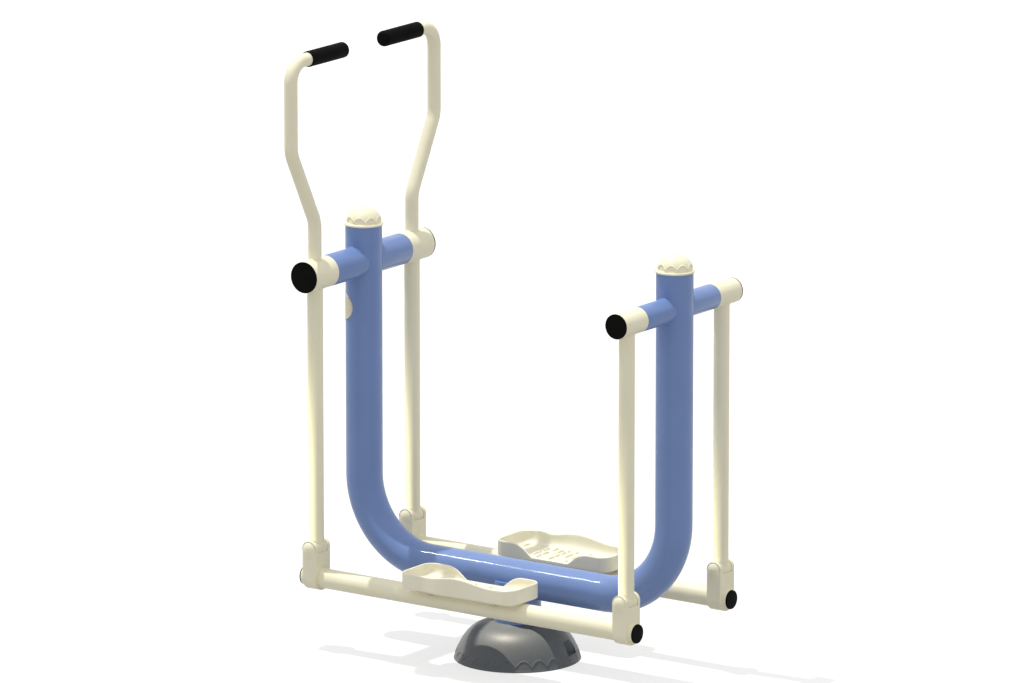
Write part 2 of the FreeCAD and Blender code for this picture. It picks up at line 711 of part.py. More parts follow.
def fork(hub, side):
    """A clevis block on the foot bar: round below, with two arched cheeks and a hollow-floored slot above."""
    y = side * SIDE_Y
    half_width = FORK_WIDTH / 2
    half_length = FORK_LENGTH / 2
    top = PIVOT_Z + half_length
    lower = rod(V(hub.x - half_length, y, BAR_Z), X_AXIS, half_width, FORK_LENGTH)
    trunk = box(
        V(hub.x - half_length, y - half_width, BAR_Z),
        V(hub.x + half_length, y + half_width, top - FORK_HOOD_R),
    )
    bridge = box(
        V(hub.x - half_length, y - half_width + FORK_HOOD_R, BAR_Z),
        V(hub.x + half_length, y + half_width - FORK_HOOD_R, top),
    )
    section = lower.fuse([trunk, bridge])
    for edge_y in (-1, 1):
        corner = V(hub.x - half_length, y + edge_y * (half_width - FORK_HOOD_R), top - FORK_HOOD_R)
        section = section.fuse(rod(corner, X_AXIS, FORK_HOOD_R, FORK_LENGTH))
    arch = rod(V(hub.x, y - half_width, PIVOT_Z), Y_AXIS, half_length, FORK_WIDTH)
    legs = box(
        V(hub.x - half_length, y - half_width, BAR_Z - half_width),
        V(hub.x + half_length, y + half_width, PIVOT_Z),
    )
    shape = section.common(arch.fuse(legs))
    slot = box(
        V(hub.x - FORK_LENGTH, y - FORK_GAP / 2, PIVOT_Z - FORK_LIP_DROP),
        V(hub.x + FORK_LENGTH, y + FORK_GAP / 2, top + FORK_LENGTH),
    )
    seat = rod(V(hub.x, y - FORK_GAP / 2, PIVOT_Z), Y_AXIS, BARREL_DIA / 2 + FORK_SEAT_GAP, FORK_GAP)
    shape = shape.cut(slot.fuse(seat))
    shape = shape.cut(rod(V(hub.x, y - half_width, PIVOT_Z), Y_AXIS, PIN_DIA / 2 + SEAT, FORK_WIDTH))
    bar_bore = rod(V(hub.x - half_length, y, BAR_Z), X_AXIS, BAR_DIA / 2 + SEAT, FORK_LENGTH)
    return single(shape.cut(bar_bore))


def pivot_pin(hub, side):
    length = FORK_WIDTH - 2 * PIN_INSET
    return rod(V(hub.x, side * SIDE_Y - length / 2, PIVOT_Z), Y_AXIS, PIN_DIA / 2, length)


def foot_bar(side):
    return tube(V(-BAR_HALF, side * SIDE_Y, BAR_Z), X_AXIS, BAR_DIA, BAR_WALL, 2 * BAR_HALF)


def bar_plugs(side):
    plug_r = BAR_DIA / 2 - BAR_WALL - SEAT
    plugs = []
    for end in (-1, 1):
        profile = [
            (0, PLUG_T),
            (PLUG_DIA / 2, PLUG_T),
            (PLUG_DIA / 2, 0),
            (plug_r, 0),
            (plug_r, -PLUG_DEPTH),
            (plug_r - PLUG_WALL, -PLUG_DEPTH),
            (plug_r - PLUG_WALL, 0),
            (0, 0),
        ]
        plugs.append(turned(profile, V(end * BAR_HALF, side * SIDE_Y, BAR_Z), X_AXIS * end))
    return plugs


# Foot trays. Tray shapes are made about the bar's axis, with +Y outboard, and mirrored for the left.

def tray_prism(inset, low, height):
    """The tray's plan as an upright prism: round corners and a waved outboard side."""
    end = TRAY_HALF_LENGTH - inset

    def corner(turn_x, turn_y, y, radius):
        """A quarter round from the side at this y to the end; turn_x and turn_y point outwards."""
        radius -= inset
        y -= turn_y * inset
        centre = V(turn_x * (end - radius), y - turn_y * radius, low)
        middle = centre + V(turn_x, turn_y, 0).normalize() * radius
        return Part.Arc(V(centre.x, y, low), middle, V(turn_x * end, centre.y, low))

    toe_out = corner(-1, 1, TRAY_OUT_Y, TRAY_TOE_R)
    heel_out = corner(1, 1, TRAY_HEEL_Y, TRAY_CORNER_R)
    heel_in = corner(1, -1, -TRAY_IN_Y, TRAY_CORNER_R)
    toe_in = corner(-1, -1, -TRAY_IN_Y, TRAY_CORNER_R)
    wave = Part.BSplineCurve()
    wave_points = [
        toe_out.StartPoint,
        V(TRAY_WAIST_X, TRAY_WAIST_Y - inset, low),
        V(TRAY_SHOULDER_X, TRAY_OUT_Y - inset, low),
        V(0, TRAY_MIDDLE_Y - inset, low),
        heel_out.StartPoint,
    ]
    wave.interpolate(wave_points, InitialTangent=X_AXIS, FinalTangent=X_AXIS)
    loop = Part.Wire([
        wave.toShape(),
        heel_out.toShape(),
        Part.LineSegment(heel_out.EndPoint, heel_in.EndPoint).toShape(),
        heel_in.toShape(),
        Part.LineSegment(heel_in.StartPoint, toe_in.StartPoint).toShape(),
        toe_in.toShape(),
        Part.LineSegment(toe_in.EndPoint, toe_out.EndPoint).toShape(),
        toe_out.toShape(),
    ])
    return Part.Face(loop).extrude(Z_AXIS * height)


def inboard_rim():
    """The inboard rim line: a low sill between two slopes."""
    far = TRAY_HALF_LENGTH + TRAY_WALL
    slope = TRAY_NOTCH_HALF + TRAY_NOTCH_RAMP
    points = [
        (-far, TRAY_RIM_H),
        (-slope, TRAY_RIM_H),
        (-TRAY_NOTCH_HALF, TRAY_NOTCH_H),
        (TRAY_NOTCH_HALF, TRAY_NOTCH_H),
        (slope, TRAY_RIM_H),
        (far, TRAY_RIM_H),
    ]
    corners = [V(x, 0, TRAY_Z + height) for x, height in points]
    radii = [TRAY_NOTCH_TOP_R, TRAY_NOTCH_FOOT_R, TRAY_NOTCH_FOOT_R, TRAY_NOTCH_TOP_R]
    return bent_path(corners, radii)


def outboard_rim():
    """The outboard rim line: a hump in the middle with a dip before and behind it."""
    far = TRAY_HALF_LENGTH + TRAY_WALL
    points = [
        (-far, TRAY_RIM_H),
        (TRAY_CREST_X, TRAY_RIM_H + TRAY_RIPPLE),
        ((TRAY_CREST_X + TRAY_SHOULDER_X) / 2, TRAY_RIM_H),
        (TRAY_HUMP_X, TRAY_HUMP_H),
        (TRAY_DIP_X, TRAY_RIM_H - 2 * TRAY_RIPPLE),
        (far, TRAY_RIM_H),
    ]
    curve = Part.BSplineCurve()
    places = [V(x, 0, TRAY_Z + height) for x, height in points]
    curve.interpolate(places, InitialTangent=X_AXIS, FinalTangent=X_AXIS)
    return Part.Wire([curve.toShape()])


def above_rim(line, side):
    """Everything above a rim line, on one side of the bar's plane."""
    far = TRAY_HALF_LENGTH + TRAY_WALL
    rim_z = TRAY_Z + TRAY_RIM_H
    lid_z = TRAY_Z + 3 * TRAY_HUMP_H
    corners = [V(far, 0, rim_z), V(far, 0, lid_z), V(-far, 0, lid_z), V(-far, 0, rim_z)]
    loop = Part.Wire(line.Edges + Part.makePolygon(corners).Edges)
    return Part.Face(loop).extrude(Y_AXIS * (side * 2 * TRAY_IN_Y))


def tray():
    """A foot tray with a low inboard entry and a humped outboard wall."""
    shape = tray_prism(0, TRAY_Z, 2 * TRAY_HUMP_H)
    shape = shape.cut(tray_prism(TRAY_WALL, TRAY_Z + TRAY_FLOOR_T, 2 * TRAY_HUMP_H))
    shape = shape.cut(above_rim(inboard_rim(), -1))
    shape = shape.cut(above_rim(outboard_rim(), 1))
    for place in tray_bolt_places():
        shape = shape.cut(rod(V(place.x, place.y, TRAY_Z), Z_AXIS, bolt_hole_r(), TRAY_FLOOR_T))
        shape = shape.cut(bolt_head(place, BOLT_CLEARANCE))
    return single(shape)


def tray_bolt_places():
    """Bolt axes where they meet the tray's floor."""
    floor = TRAY_Z + TRAY_FLOOR_T
    places = []
    for x in (-STRAP_X, STRAP_X):
        for y in (-TRAY_BOLT_Y, TRAY_BOLT_Y):
            places.append(V(x, y, floor))
    return places


def bolt_hole_r():
    return TRAY_BOLT_DIA / 2 + BOLT_CLEARANCE


def bolt_head(place, extra):
    """A countersunk head flush with the floor, or with extra its recess."""
    top_r = TRAY_BOLT_HEAD_DIA / 2 + extra
    low_r = TRAY_BOLT_DIA / 2 + extra
    return Part.makeCone(low_r, top_r, TRAY_BOLT_HEAD_H, place - Z_AXIS * TRAY_BOLT_HEAD_H, Z_AXIS)


def strap_bottom():
    return TRAY_Z - STRAP_T


def tray_straps():
    """Cross plates seated over the bar, which carry the tray."""
    bar = rod(V(-BAR_HALF, 0, BAR_Z), X_AXIS, BAR_DIA / 2 + WELD, 2 * BAR_HALF)
    straps = []
    for x in (-STRAP_X, STRAP_X):
        plate = box(
            V(x - STRAP_LENGTH / 2, -STRAP_WIDTH / 2, strap_bottom()),
            V(x + STRAP_LENGTH / 2, STRAP_WIDTH / 2, TRAY_Z),
        ).cut(bar)
        for y in (-TRAY_BOLT_Y, TRAY_BOLT_Y):
            plate = plate.cut(rod(V(x, y, strap_bottom()), Z_AXIS, bolt_hole_r(), STRAP_T))
        straps.append(single(plate))
    return straps


def tray_bolts():
    bolts = []
    tail = strap_bottom() - TRAY_NUT_H - BOLT_TAIL
    for place in tray_bolt_places():
        shank = rod(V(place.x, place.y, tail), Z_AXIS, TRAY_BOLT_DIA / 2, place.z - tail)
        bolts.append(single(bolt_head(place, 0).fuse(shank)))
    return bolts


def tray_nuts():
    bore_r = TRAY_BOLT_DIA / 2 + SEAT
    nuts = []
    for place in tray_bolt_places():
        start = V(place.x, place.y, strap_bottom())
        nuts.append(hexagon(start, Z_AXIS * -1, TRAY_NUT_AF, TRAY_NUT_H, bore_r))
    return nuts


def on_side(shape, side):
    """Moves a tray piece to its foot bar; the left one is a mirror image."""
    if side < 0:
        shape = shape.mirror(V(0, 0, 0), Y_AXIS)
    shape.translate(V(0, side * SIDE_Y, 0))
    return shape


def build_frame():
    hubs = (FRONT, REAR)
    sides = SIDES.values()
    save("u_frame", u_frame())
    save("pedestal_tube", pedestal_tube())
    save("pedestal_saddle_plates", *saddle_plates())
    save("base_flange", base_flange())
    save("base_gussets", *base_gussets())
    save("base_cover_screws", *[cover_screw(side) for side in sides])
    save("front_post_cap", post_cap(-POST_X))
    save("rear_post_cap", post_cap(POST_X))
    save("label_plate", label_plate())
    save("label_rivets", *label_rivets())
    save("front_crossbeam", crossbeam(FRONT))
    save("rear_crossbeam", crossbeam(REAR))
    save("front_axle", axle(FRONT))
    save("rear_axle", axle(REAR))
    save("beam_end_plates", *[plate for hub in hubs for plate in beam_end_plates(hub)])
    save("bearing_inner_races", *[race for hub in hubs for side in sides for race in inner_races(hub, side)])
    save("axle_nuts", *[axle_nut(hub, side) for hub in hubs for side in sides])


def build_side(name, side):
    for place, hub in (("front", FRONT), ("rear", REAR)):
        label = name + "_" + place
        save(label + "_hub", hub_sleeve(hub, side))
        save(label + "_hub_cap", hub_cap(hub, side))
        save(label + "_bearing_outer_races", *outer_races(hub, side))
        save(label + "_arm", swing_arm(hub, side))
        save(label + "_pivot_bushes", *pivot_bushes(hub, side))
        save(label + "_fork", fork(hub, side))
    save(name + "_handle", handle(side))
    save(name + "_grip", grip(side))
    save(name + "_foot_bar", foot_bar(side))
    save(name + "_bar_plugs", *bar_plugs(side))
    save(name + "_pivot_pins", pivot_pin(FRONT, side), pivot_pin(REAR, side))
    save(name + "_foot_tray", on_side(tray(), side))
    save(name + "_tray_straps", *[on_side(strap, side) for strap in tray_straps()])
    save(name + "_tray_fasteners", *[on_side(piece, side) for piece in tray_bolts() + tray_nuts()])
    save("base_cover_" + name, cover_half(side))


os.makedirs("parts", exist_ok=True)
build_frame()
for side_name, side_sign in SIDES.items():
    build_side(side_name, side_sign)
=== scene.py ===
import json
import math

import bmesh
import bpy
import numpy as np
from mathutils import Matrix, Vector


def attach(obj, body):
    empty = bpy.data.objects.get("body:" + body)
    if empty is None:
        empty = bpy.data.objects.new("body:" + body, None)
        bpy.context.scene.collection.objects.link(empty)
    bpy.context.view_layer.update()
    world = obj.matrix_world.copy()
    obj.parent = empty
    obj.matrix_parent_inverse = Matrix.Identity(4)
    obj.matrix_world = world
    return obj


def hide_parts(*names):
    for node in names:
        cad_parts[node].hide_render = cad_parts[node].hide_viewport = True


# Outdoor air walker in its photographed setting. Sizes are millimetres, +Z up, as in the CAD source,
# and turn into metres when a mesh is made. -X is the handle side and -Y the left side.

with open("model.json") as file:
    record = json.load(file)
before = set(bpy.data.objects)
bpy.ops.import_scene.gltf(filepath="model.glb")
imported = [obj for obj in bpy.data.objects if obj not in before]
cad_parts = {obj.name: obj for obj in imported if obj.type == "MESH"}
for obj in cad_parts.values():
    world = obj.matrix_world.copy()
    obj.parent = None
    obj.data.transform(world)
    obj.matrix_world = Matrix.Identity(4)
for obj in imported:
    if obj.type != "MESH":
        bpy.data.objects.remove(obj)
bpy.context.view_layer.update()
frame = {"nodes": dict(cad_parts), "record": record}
scene = bpy.context.scene

MM = 0.001
MERGE = 2e-6  # metres; vertices closer than this become one

# Layout, as in the CAD source
POST_X = 453.0  # posts, crossbeams and lower pivots
SIDE_Y = 197.5  # arms and foot bars
MAIN_Z = 196.0  # axis of the main tube's level run
BEAM_Z = 917.5  # axis of the crossbeams
PIVOT_Z = 245.5  # axis of the lower pivots
BAR_Z = 172.5  # axis of the foot bars
POST_TOP_Z = 1005.0
SIDES = {"left": -1, "right": 1}
ENDS = {"front": -POST_X, "rear": POST_X}


# ---- mesh helpers

class Shell:
    """Gathers vertices and faces of one piece, in millimetres."""

    def __init__(self):
        self.verts = []
        self.faces = []

    def add(self, points):
        first = len(self.verts)
        self.verts.extend(tuple(float(c) for c in p) for p in points)
        return list(range(first, first + len(points)))

    def strip(self, low, high, closed):
        """Quads between two index rows of the same length."""
        count = len(low)
        last = count if closed else count - 1
        for i in range(last):
            j = (i + 1) % count
            if low[i] == low[j]:
                self.faces.append((low[i], high[j], high[i]))
            elif high[i] == high[j]:
                self.faces.append((low[i], low[j], high[i]))
            else:
                self.faces.append((low[i], low[j], high[j], high[i]))

    def skin(self, rows, closed=True, loop=False):
        """Joins rows of points into a surface; loop also joins the last row to the first."""
        ids = [self.add(row) for row in rows]
        pairs = list(zip(ids, ids[1:]))
        if loop:
            pairs.append((ids[-1], ids[0]))
        for low, high in pairs:
            self.strip(low, high, closed)
        return ids

    def fan(self, ids, centre, flip=False):
        """Closes a loop of vertices with triangles to one point."""
        hub = self.add([centre])[0]
        for i, j in zip(ids, ids[1:] + ids[:1]):
            self.faces.append((j, i, hub) if flip else (i, j, hub))

    def mirror_y(self):
        self.verts = [(x, -y, z) for x, y, z in self.verts]
        self.faces = [face[::-1] for face in self.faces]

    def shift(self, x, y, z):
        self.verts = [(a + x, b + y, c + z) for a, b, c in self.verts]


def piece(name, shell, material, body, nodes=(), sharp=32):
    """Makes an object of a shell, with smooth faces that part at edges above the sharp angle."""
    mesh = bpy.data.meshes.new(name)
    mesh.from_pydata([(x * MM, y * MM, z * MM) for x, y, z in shell.verts], [], shell.faces)
    tidy = bmesh.new()
    tidy.from_mesh(mesh)
    bmesh.ops.remove_doubles(tidy, verts=tidy.verts, dist=MERGE)
    bmesh.ops.recalc_face_normals(tidy, faces=tidy.faces)
    tidy.to_mesh(mesh)
    tidy.free()
    mesh.update()
    mesh.polygons.foreach_set("use_smooth", [True] * len(mesh.polygons))
    mesh.set_sharp_from_angle(angle=math.radians(sharp))
    mesh.materials.append(material)
    obj = bpy.data.objects.new(name, mesh)
    scene.collection.objects.link(obj)
    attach(obj, body)
    if nodes:
        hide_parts(*nodes)
    return obj


def smoothstep(low, high, value):
    """0 below low, 1 above high, and an even curve between them."""
    t = np.clip((np.asarray(value, float) - low) / (high - low), 0, 1)
    return t * t * (3 - 2 * t)


def round_corners(points, radii, steps=6):
    """A 2-D polyline with an arc at each inner corner; a radius of 0 keeps the corner."""
    out = [np.array(points[0], float)]
    for before, corner, after, radius in zip(points, points[1:], points[2:], radii):
        corner = np.array(corner, float)
        back = np.array(before, float) - corner
        ahead = np.array(after, float) - corner
        back /= np.linalg.norm(back)
        ahead /= np.linalg.norm(ahead)
        half = math.acos(float(np.clip(back @ ahead, -1, 1))) / 2
        if radius <= 0 or half < 1e-3 or abs(half - math.pi / 2) < 1e-3:
            out.append(corner)
            continue
        reach = radius / math.tan(half)
        bisector = (back + ahead) / np.linalg.norm(back + ahead)
        centre = corner + bisector * (radius / math.sin(half))
        enter = corner + back * reach - centre
        leave = corner + ahead * reach - centre
        turn = math.pi - 2 * half
        for k in range(steps + 1):
            a = turn * k / steps
            out.append(centre + (enter * math.sin(turn - a) + leave * math.sin(a)) / math.sin(turn))
    out.append(np.array(points[-1], float))
    return out


def lathe(shell, profile, origin, axis, steps=96):
    """Turns a closed profile of (radius, distance along the axis) points about X, Y or Z."""
    rows = []
    for radius, along in profile:
        radius = max(radius, 0.0)
        row = []
        for k in range(steps):
            a = 2 * math.pi * k / steps
            c, s = radius * math.cos(a), radius * math.sin(a)
            spot = {"X": (along, c, s), "Y": (c, along, s), "Z": (c, s, along)}[axis]
            row.append((origin[0] + spot[0], origin[1] + spot[1], origin[2] + spot[2]))
        rows.append(row)
    shell.skin(rows, loop=profile[0][0] > 0 or profile[-1][0] > 0)


def bevelled(points, radius=0.8, steps=3):
    """A closed 2-D outline with every corner rounded."""
    ring = list(points)
    wrapped = [ring[-1], *ring, ring[0]]
    out = round_corners(wrapped, [radius] * len(ring), steps)
    return out[1:-1]


def ring_profile(outer, inner, low, high, edge=0.6):
    """A tube's section with its four edges rounded."""
    return bevelled([(inner, low), (outer, low), (outer, high), (inner, high)], edge, 2)


def frames(points, plane):
    """Two cross axes at each point of a flat path, square to the path."""
    points = np.array(points, float)
    ahead = np.gradient(points, axis=0)
    ahead /= np.linalg.norm(ahead, axis=1)[:, None]
    plane = np.array(plane, float)
    return points, np.cross(ahead, plane), np.tile(plane, (len(points), 1))


def sweep(shell, points, plane, outer, inner=0.0, steps=64):
    """A round tube along a flat path whose plane has this normal."""
    centre, side, up = frames(points, plane)
    angles = np.arange(steps) * 2 * math.pi / steps

    def rows(radius):
        return [
            centre[i] + radius * (np.cos(angles)[:, None] * side[i] + np.sin(angles)[:, None] * up[i])
            for i in range(len(centre))
        ]

    if inner > 0:
        shell.skin([*rows(outer), *rows(inner)[::-1]], loop=True)
    else:
        ids = shell.skin(rows(outer))
        shell.fan(ids[0], centre[0], flip=True)
        shell.fan(ids[-1], centre[-1])


def bead(shell, curve, outwards, size, ripple=0.22, pitch=3.2, flatness=0.75, steps=8):
    """A weld run along a closed curve, with the ripples of its passes."""
    ahead = np.roll(curve, -1, 0) - np.roll(curve, 1, 0)
    ahead /= np.linalg.norm(ahead, axis=1)[:, None]
    outwards = outwards - (outwards * ahead).sum(1)[:, None] * ahead
    outwards /= np.linalg.norm(outwards, axis=1)[:, None]
    across = np.cross(ahead, outwards)
    run = np.cumsum(np.linalg.norm(curve - np.roll(curve, 1, 0), axis=1))
    waves = max(3, round(run[-1] / pitch))
    swell = size * (1 + ripple * np.abs(np.sin(math.pi * waves * run / run[-1])) - ripple / 2)
    turns = np.arange(steps) * 2 * math.pi / steps
    cosines, sines = np.cos(turns)[:, None], np.sin(turns)[:, None]
    rows = [
        point + width * (cosines * out * flatness + sines * side)
        for point, width, out, side in zip(curve, swell, outwards, across)
    ]
    shell.skin(rows, loop=True)


def bead_on_cylinder(shell, origin, axis, radius, tube_axis, tube_radius, end, size):
    """A weld run where a tube meets a larger cylinder; end picks which side of it."""
    count = max(120, int(2 * math.pi * tube_radius * 1.4))
    a = np.arange(count) * 2 * math.pi / count
    axes = {"X": 0, "Y": 1, "Z": 2}
    i, j = axes[tube_axis], axes[axis]
    k = 3 - i - j
    curve, out = np.zeros((count, 3)), np.zeros((count, 3))
    curve[:, j] = tube_radius * np.cos(a)
    curve[:, k] = tube_radius * np.sin(a)
    curve[:, i] = end * np.sqrt(np.maximum(radius ** 2 - curve[:, k] ** 2, 0))
    out[:, j], out[:, k] = np.cos(a), np.sin(a)
    on_cylinder = np.zeros((count, 3))
    on_cylinder[:, i], on_cylinder[:, k] = curve[:, i] / radius, curve[:, k] / radius
    bead(shell, curve + np.array(origin, float), out + on_cylinder, size)


# ---- materials

def linear(red, green, blue):
    """sRGB values of 0 to 255 as a linear colour."""
    out = []
    for value in (red, green, blue):
        c = value / 255
        out.append(c / 12.92 if c <= 0.04045 else ((c + 0.055) / 1.055) ** 2.4)
    return (*out, 1.0)


def shade(colour, factor):
    return (colour[0] * factor, colour[1] * factor, colour[2] * factor, 1.0)


class Nodes:
    """A short way to build a node tree."""

    def __init__(self, tree):
        self.tree = tree
        tree.nodes.clear()

    def new(self, kind, inputs=None, **settings):
        node = self.tree.nodes.new(kind)
        for key, value in settings.items():
            setattr(node, key, value)
        for key, value in (inputs or {}).items():
            if isinstance(value, bpy.types.NodeSocket):
                self.tree.links.new(value, node.inputs[key])
            else:
                node.inputs[key].default_value = value
        return node


def noise(nodes, place, scale, detail=3.0, roughness=0.55):
    return nodes.new("ShaderNodeTexNoise", {
        "Vector": place, "Scale": scale, "Detail": detail, "Roughness": roughness,
    }).outputs["Fac"]


def ramp(nodes, value, low, high, to_low, to_high):
    return nodes.new("ShaderNodeMapRange", {
        "Value": value, "From Min": low, "From Max": high, "To Min": to_low, "To Max": to_high,
    }).outputs["Result"]


SLOW_SCALE = 9.0  # noise cells in a metre, for drifts of tone
GLOSS_SCALE = 23.0
GRAIN_RATIO = 12.0  # the relief's broad noise against its fine grain


def surface(name, colour, rough, metallic=0.0, specular=0.5, coat=0.0, coat_rough=0.1,
            drift=0.05, grain=700.0, bump=0.06, rough_drift=0.06):
    """A finish with slow drifts of tone and gloss, and a fine grain in its relief."""
    material = bpy.data.materials.new(name)
    material.use_nodes = True
    nodes = Nodes(material.node_tree)
    place = nodes.new("ShaderNodeTexCoord").outputs["Object"]
    slow = noise(nodes, place, SLOW_SCALE, 4.0)
    tone = nodes.new("ShaderNodeMix", {
        0: ramp(nodes, slow, 0.3, 0.7, 0.0, 1.0),
        6: shade(colour, 1 - drift),
        7: shade(colour, 1 + drift * 0.5),
    }, data_type="RGBA").outputs[2]
    fine = noise(nodes, place, grain, 2.0)
    wide = noise(nodes, place, grain / GRAIN_RATIO, 2.0)
    height = nodes.new("ShaderNodeMath", {0: fine, 1: wide}, operation="ADD").outputs[0]
    relief = nodes.new("ShaderNodeBump", {"Strength": bump, "Distance": 0.001, "Height": height})
    gloss = ramp(nodes, noise(nodes, place, GLOSS_SCALE), 0.3, 0.7, rough - rough_drift, rough + rough_drift)
    shader = nodes.new("ShaderNodeBsdfPrincipled", {
        "Base Color": tone,
        "Roughness": gloss,
        "Metallic": metallic,
        "Specular IOR Level": specular,
        "Coat Weight": coat,
        "Coat Roughness": coat_rough,
        "Normal": relief.outputs["Normal"],
    })
    nodes.new("ShaderNodeOutputMaterial", {"Surface": shader.outputs[0]})
    return material


CREAM = linear(243, 238, 212)

# per material slot: colour, roughness, and what differs from the defaults of surface()
FINISHES = {
    "blue_paint": (linear(110, 137, 193), 0.5, {
        "specular": 0.3, "coat": 0.35, "coat_rough": 0.09, "drift": 0.04, "bump": 0.012}),
    "cream_paint": (CREAM, 0.5, {"specular": 0.35, "drift": 0.025, "bump": 0.05}),
    "cap_cream": (CREAM, 0.48, {"specular": 0.4, "drift": 0.03, "bump": 0.07}),
    "label_cream": (linear(225, 219, 196), 0.5, {"specular": 0.3, "drift": 0.03, "bump": 0.05}),
    "cover_grey": (linear(87, 92, 98), 0.46, {
        "specular": 0.4, "drift": 0.02, "bump": 0.04, "rough_drift": 0.02}),
    "tray_cream": (linear(239, 235, 214), 0.42, {
        "specular": 0.6, "drift": 0.03, "grain": 420.0, "bump": 0.12}),
    "grip_rubber": (linear(11, 11, 11), 0.75, {
        "specular": 0.05, "drift": 0.15, "grain": 1500.0, "bump": 0.2}),
    "black_plastic": (linear(10, 10, 9), 0.6, {"specular": 0.04, "drift": 0.12, "bump": 0.08}),
    "bearing_steel": (linear(172, 172, 174), 0.3, {"metallic": 1.0, "drift": 0.06}),
    "zinc_steel": (linear(206, 200, 176), 0.6, {"metallic": 0.1, "drift": 0.08, "bump": 0.08}),
    "bush_bronze": (linear(176, 132, 84), 0.36, {"metallic": 1.0, "drift": 0.1}),
    "rivet_aluminium": (linear(214, 209, 190), 0.5, {"metallic": 0.6, "drift": 0.06}),
}
FINISH = {slot: surface(slot, colour, rough, **rest) for slot, (colour, rough, rest) in FINISHES.items()}

NODE_SLOT = {row["node"]: row["material_slot"] for row in frame["record"]["subparts"]}
for node_name, node in frame["nodes"].items():
    node.data.materials.clear()
    node.data.materials.append(FINISH[NODE_SLOT[node_name]])


def dress(name, shell, body, *nodes, sharp=32):
    """A piece with the finish of the CAD nodes that it stands for."""
    slot = NODE_SLOT[nodes[0]]
    return piece(name, shell, FINISH[slot], body, nodes, sharp)


# ---- tubes, hubs and arms

MAIN_R = 44.45
MAIN_BEND_R = 197.5
TUBE_WALL = 3.2  # main tube and foot bars
BEAM_HALF = 150.5
ARM_R = 19.0
ARM_BORE_R = 16.0
BARREL_R = 19.5
BARREL_BORE_R = 11.0
BARREL_HALF = 19.0
BAR_R = 24.15
BAR_HALF = 483.0
PLUG_R = 23.0
PLUG_FACE = 4.0
PLUG_STEM_R = 20.9
PLUG_STEM = 22.0
HUB_NEAR = 151.0  # distances of a hub's ends and its cap's face from the middle
HUB_OPEN = 240.2
HUB_FAR = 244.0
CAP_STEM = 5.0
HANDLE_R = 16.2
HANDLE_WALL = 2.6
HANDLE_OUT = 92.8  # how far the handle's upper run stands outside its foot
HANDLE_FOOT, HANDLE_KNEE, HANDLE_TOP_KNEE, HANDLE_TOP = 33.0, 129.5, 309.5, 528.3  # above the beam's axis
HANDLE_END = 81.5
HANDLE_BENDS = (70.0, 70.0, 48.0)
GRIP_R = 19.15
GRIP_BORE_R = 16.3
GRIP_NEAR, GRIP_FAR = 76.5, 224.0
GRIP_SEAM = 218.5
HUBS = {
    # beam's outer and inner radius, bearing seat, shoulder, ends of the inner and outer seat
    "front": (38.05, 34.45, 31.0, 27.0, 171.5, 207.7),
    "rear": (30.15, 26.95, 26.0, 22.0, 170.5, 208.7),
}


def signed(profile, side):
    """The profile on the side given."""
    return [(radius, along * side) for radius, along in profile]


def u_frame():
    """The main tube, bent up into the two posts."""
    shell = Shell()
    corners = [(-POST_X, POST_TOP_Z), (-POST_X, MAIN_Z), (POST_X, MAIN_Z), (POST_X, POST_TOP_Z)]
    path = round_corners(corners, [MAIN_BEND_R] * 2, 56)
    sweep(shell, [(x, 0, z) for x, z in path], (0, 1, 0), MAIN_R, MAIN_R - TUBE_WALL, 112)
    return shell


def crossbeam(x, outer, inner):
    """The tube and the weld runs where it leaves the post."""
    shell = Shell()
    lathe(shell, ring_profile(outer, inner, -BEAM_HALF, BEAM_HALF), (x, 0, BEAM_Z), "Y", 112)
    for end in (-1, 1):
        bead_on_cylinder(shell, (x, 0, BEAM_Z), "Z", MAIN_R, "Y", outer, end, 2.2)
    return shell


def hub(x, outer, seat, waist, inner_end, outer_start, side):
    """A sleeve with a bearing seat at each end."""
    shell = Shell()
    profile = bevelled([
        (outer, HUB_NEAR), (outer, HUB_OPEN), (seat, HUB_OPEN), (seat, outer_start),
        (waist, outer_start), (waist, inner_end), (seat, inner_end), (seat, HUB_NEAR)], 0.7)
    lathe(shell, signed(profile, side), (x, 0, BEAM_Z), "Y", 112)
    return shell


def hub_cap(x, outer, seat, side):
    """A flat disc with a rounded edge and a shallow ring let into its face."""
    shell = Shell()
    stem, rim, foot = seat - 0.05, outer - 0.25, HUB_OPEN - CAP_STEM
    groove = [(outer - 4.2, 0.0), (outer - 4.6, 0.35), (outer - 5.2, 0.35), (outer - 5.6, 0.0)]
    profile = round_corners(
        [(0, foot), (stem, foot), (stem, HUB_OPEN), (rim, HUB_OPEN), (rim, HUB_FAR)]
        + [(radius, HUB_FAR - depth) for radius, depth in groove] + [(0, HUB_FAR)],
        [0.5, 0, 0.3, 1.1, 0.2, 0.1, 0.1, 0.2], 3)
    lathe(shell, signed(profile, side), (x, 0, BEAM_Z), "Y", 112)
    return shell


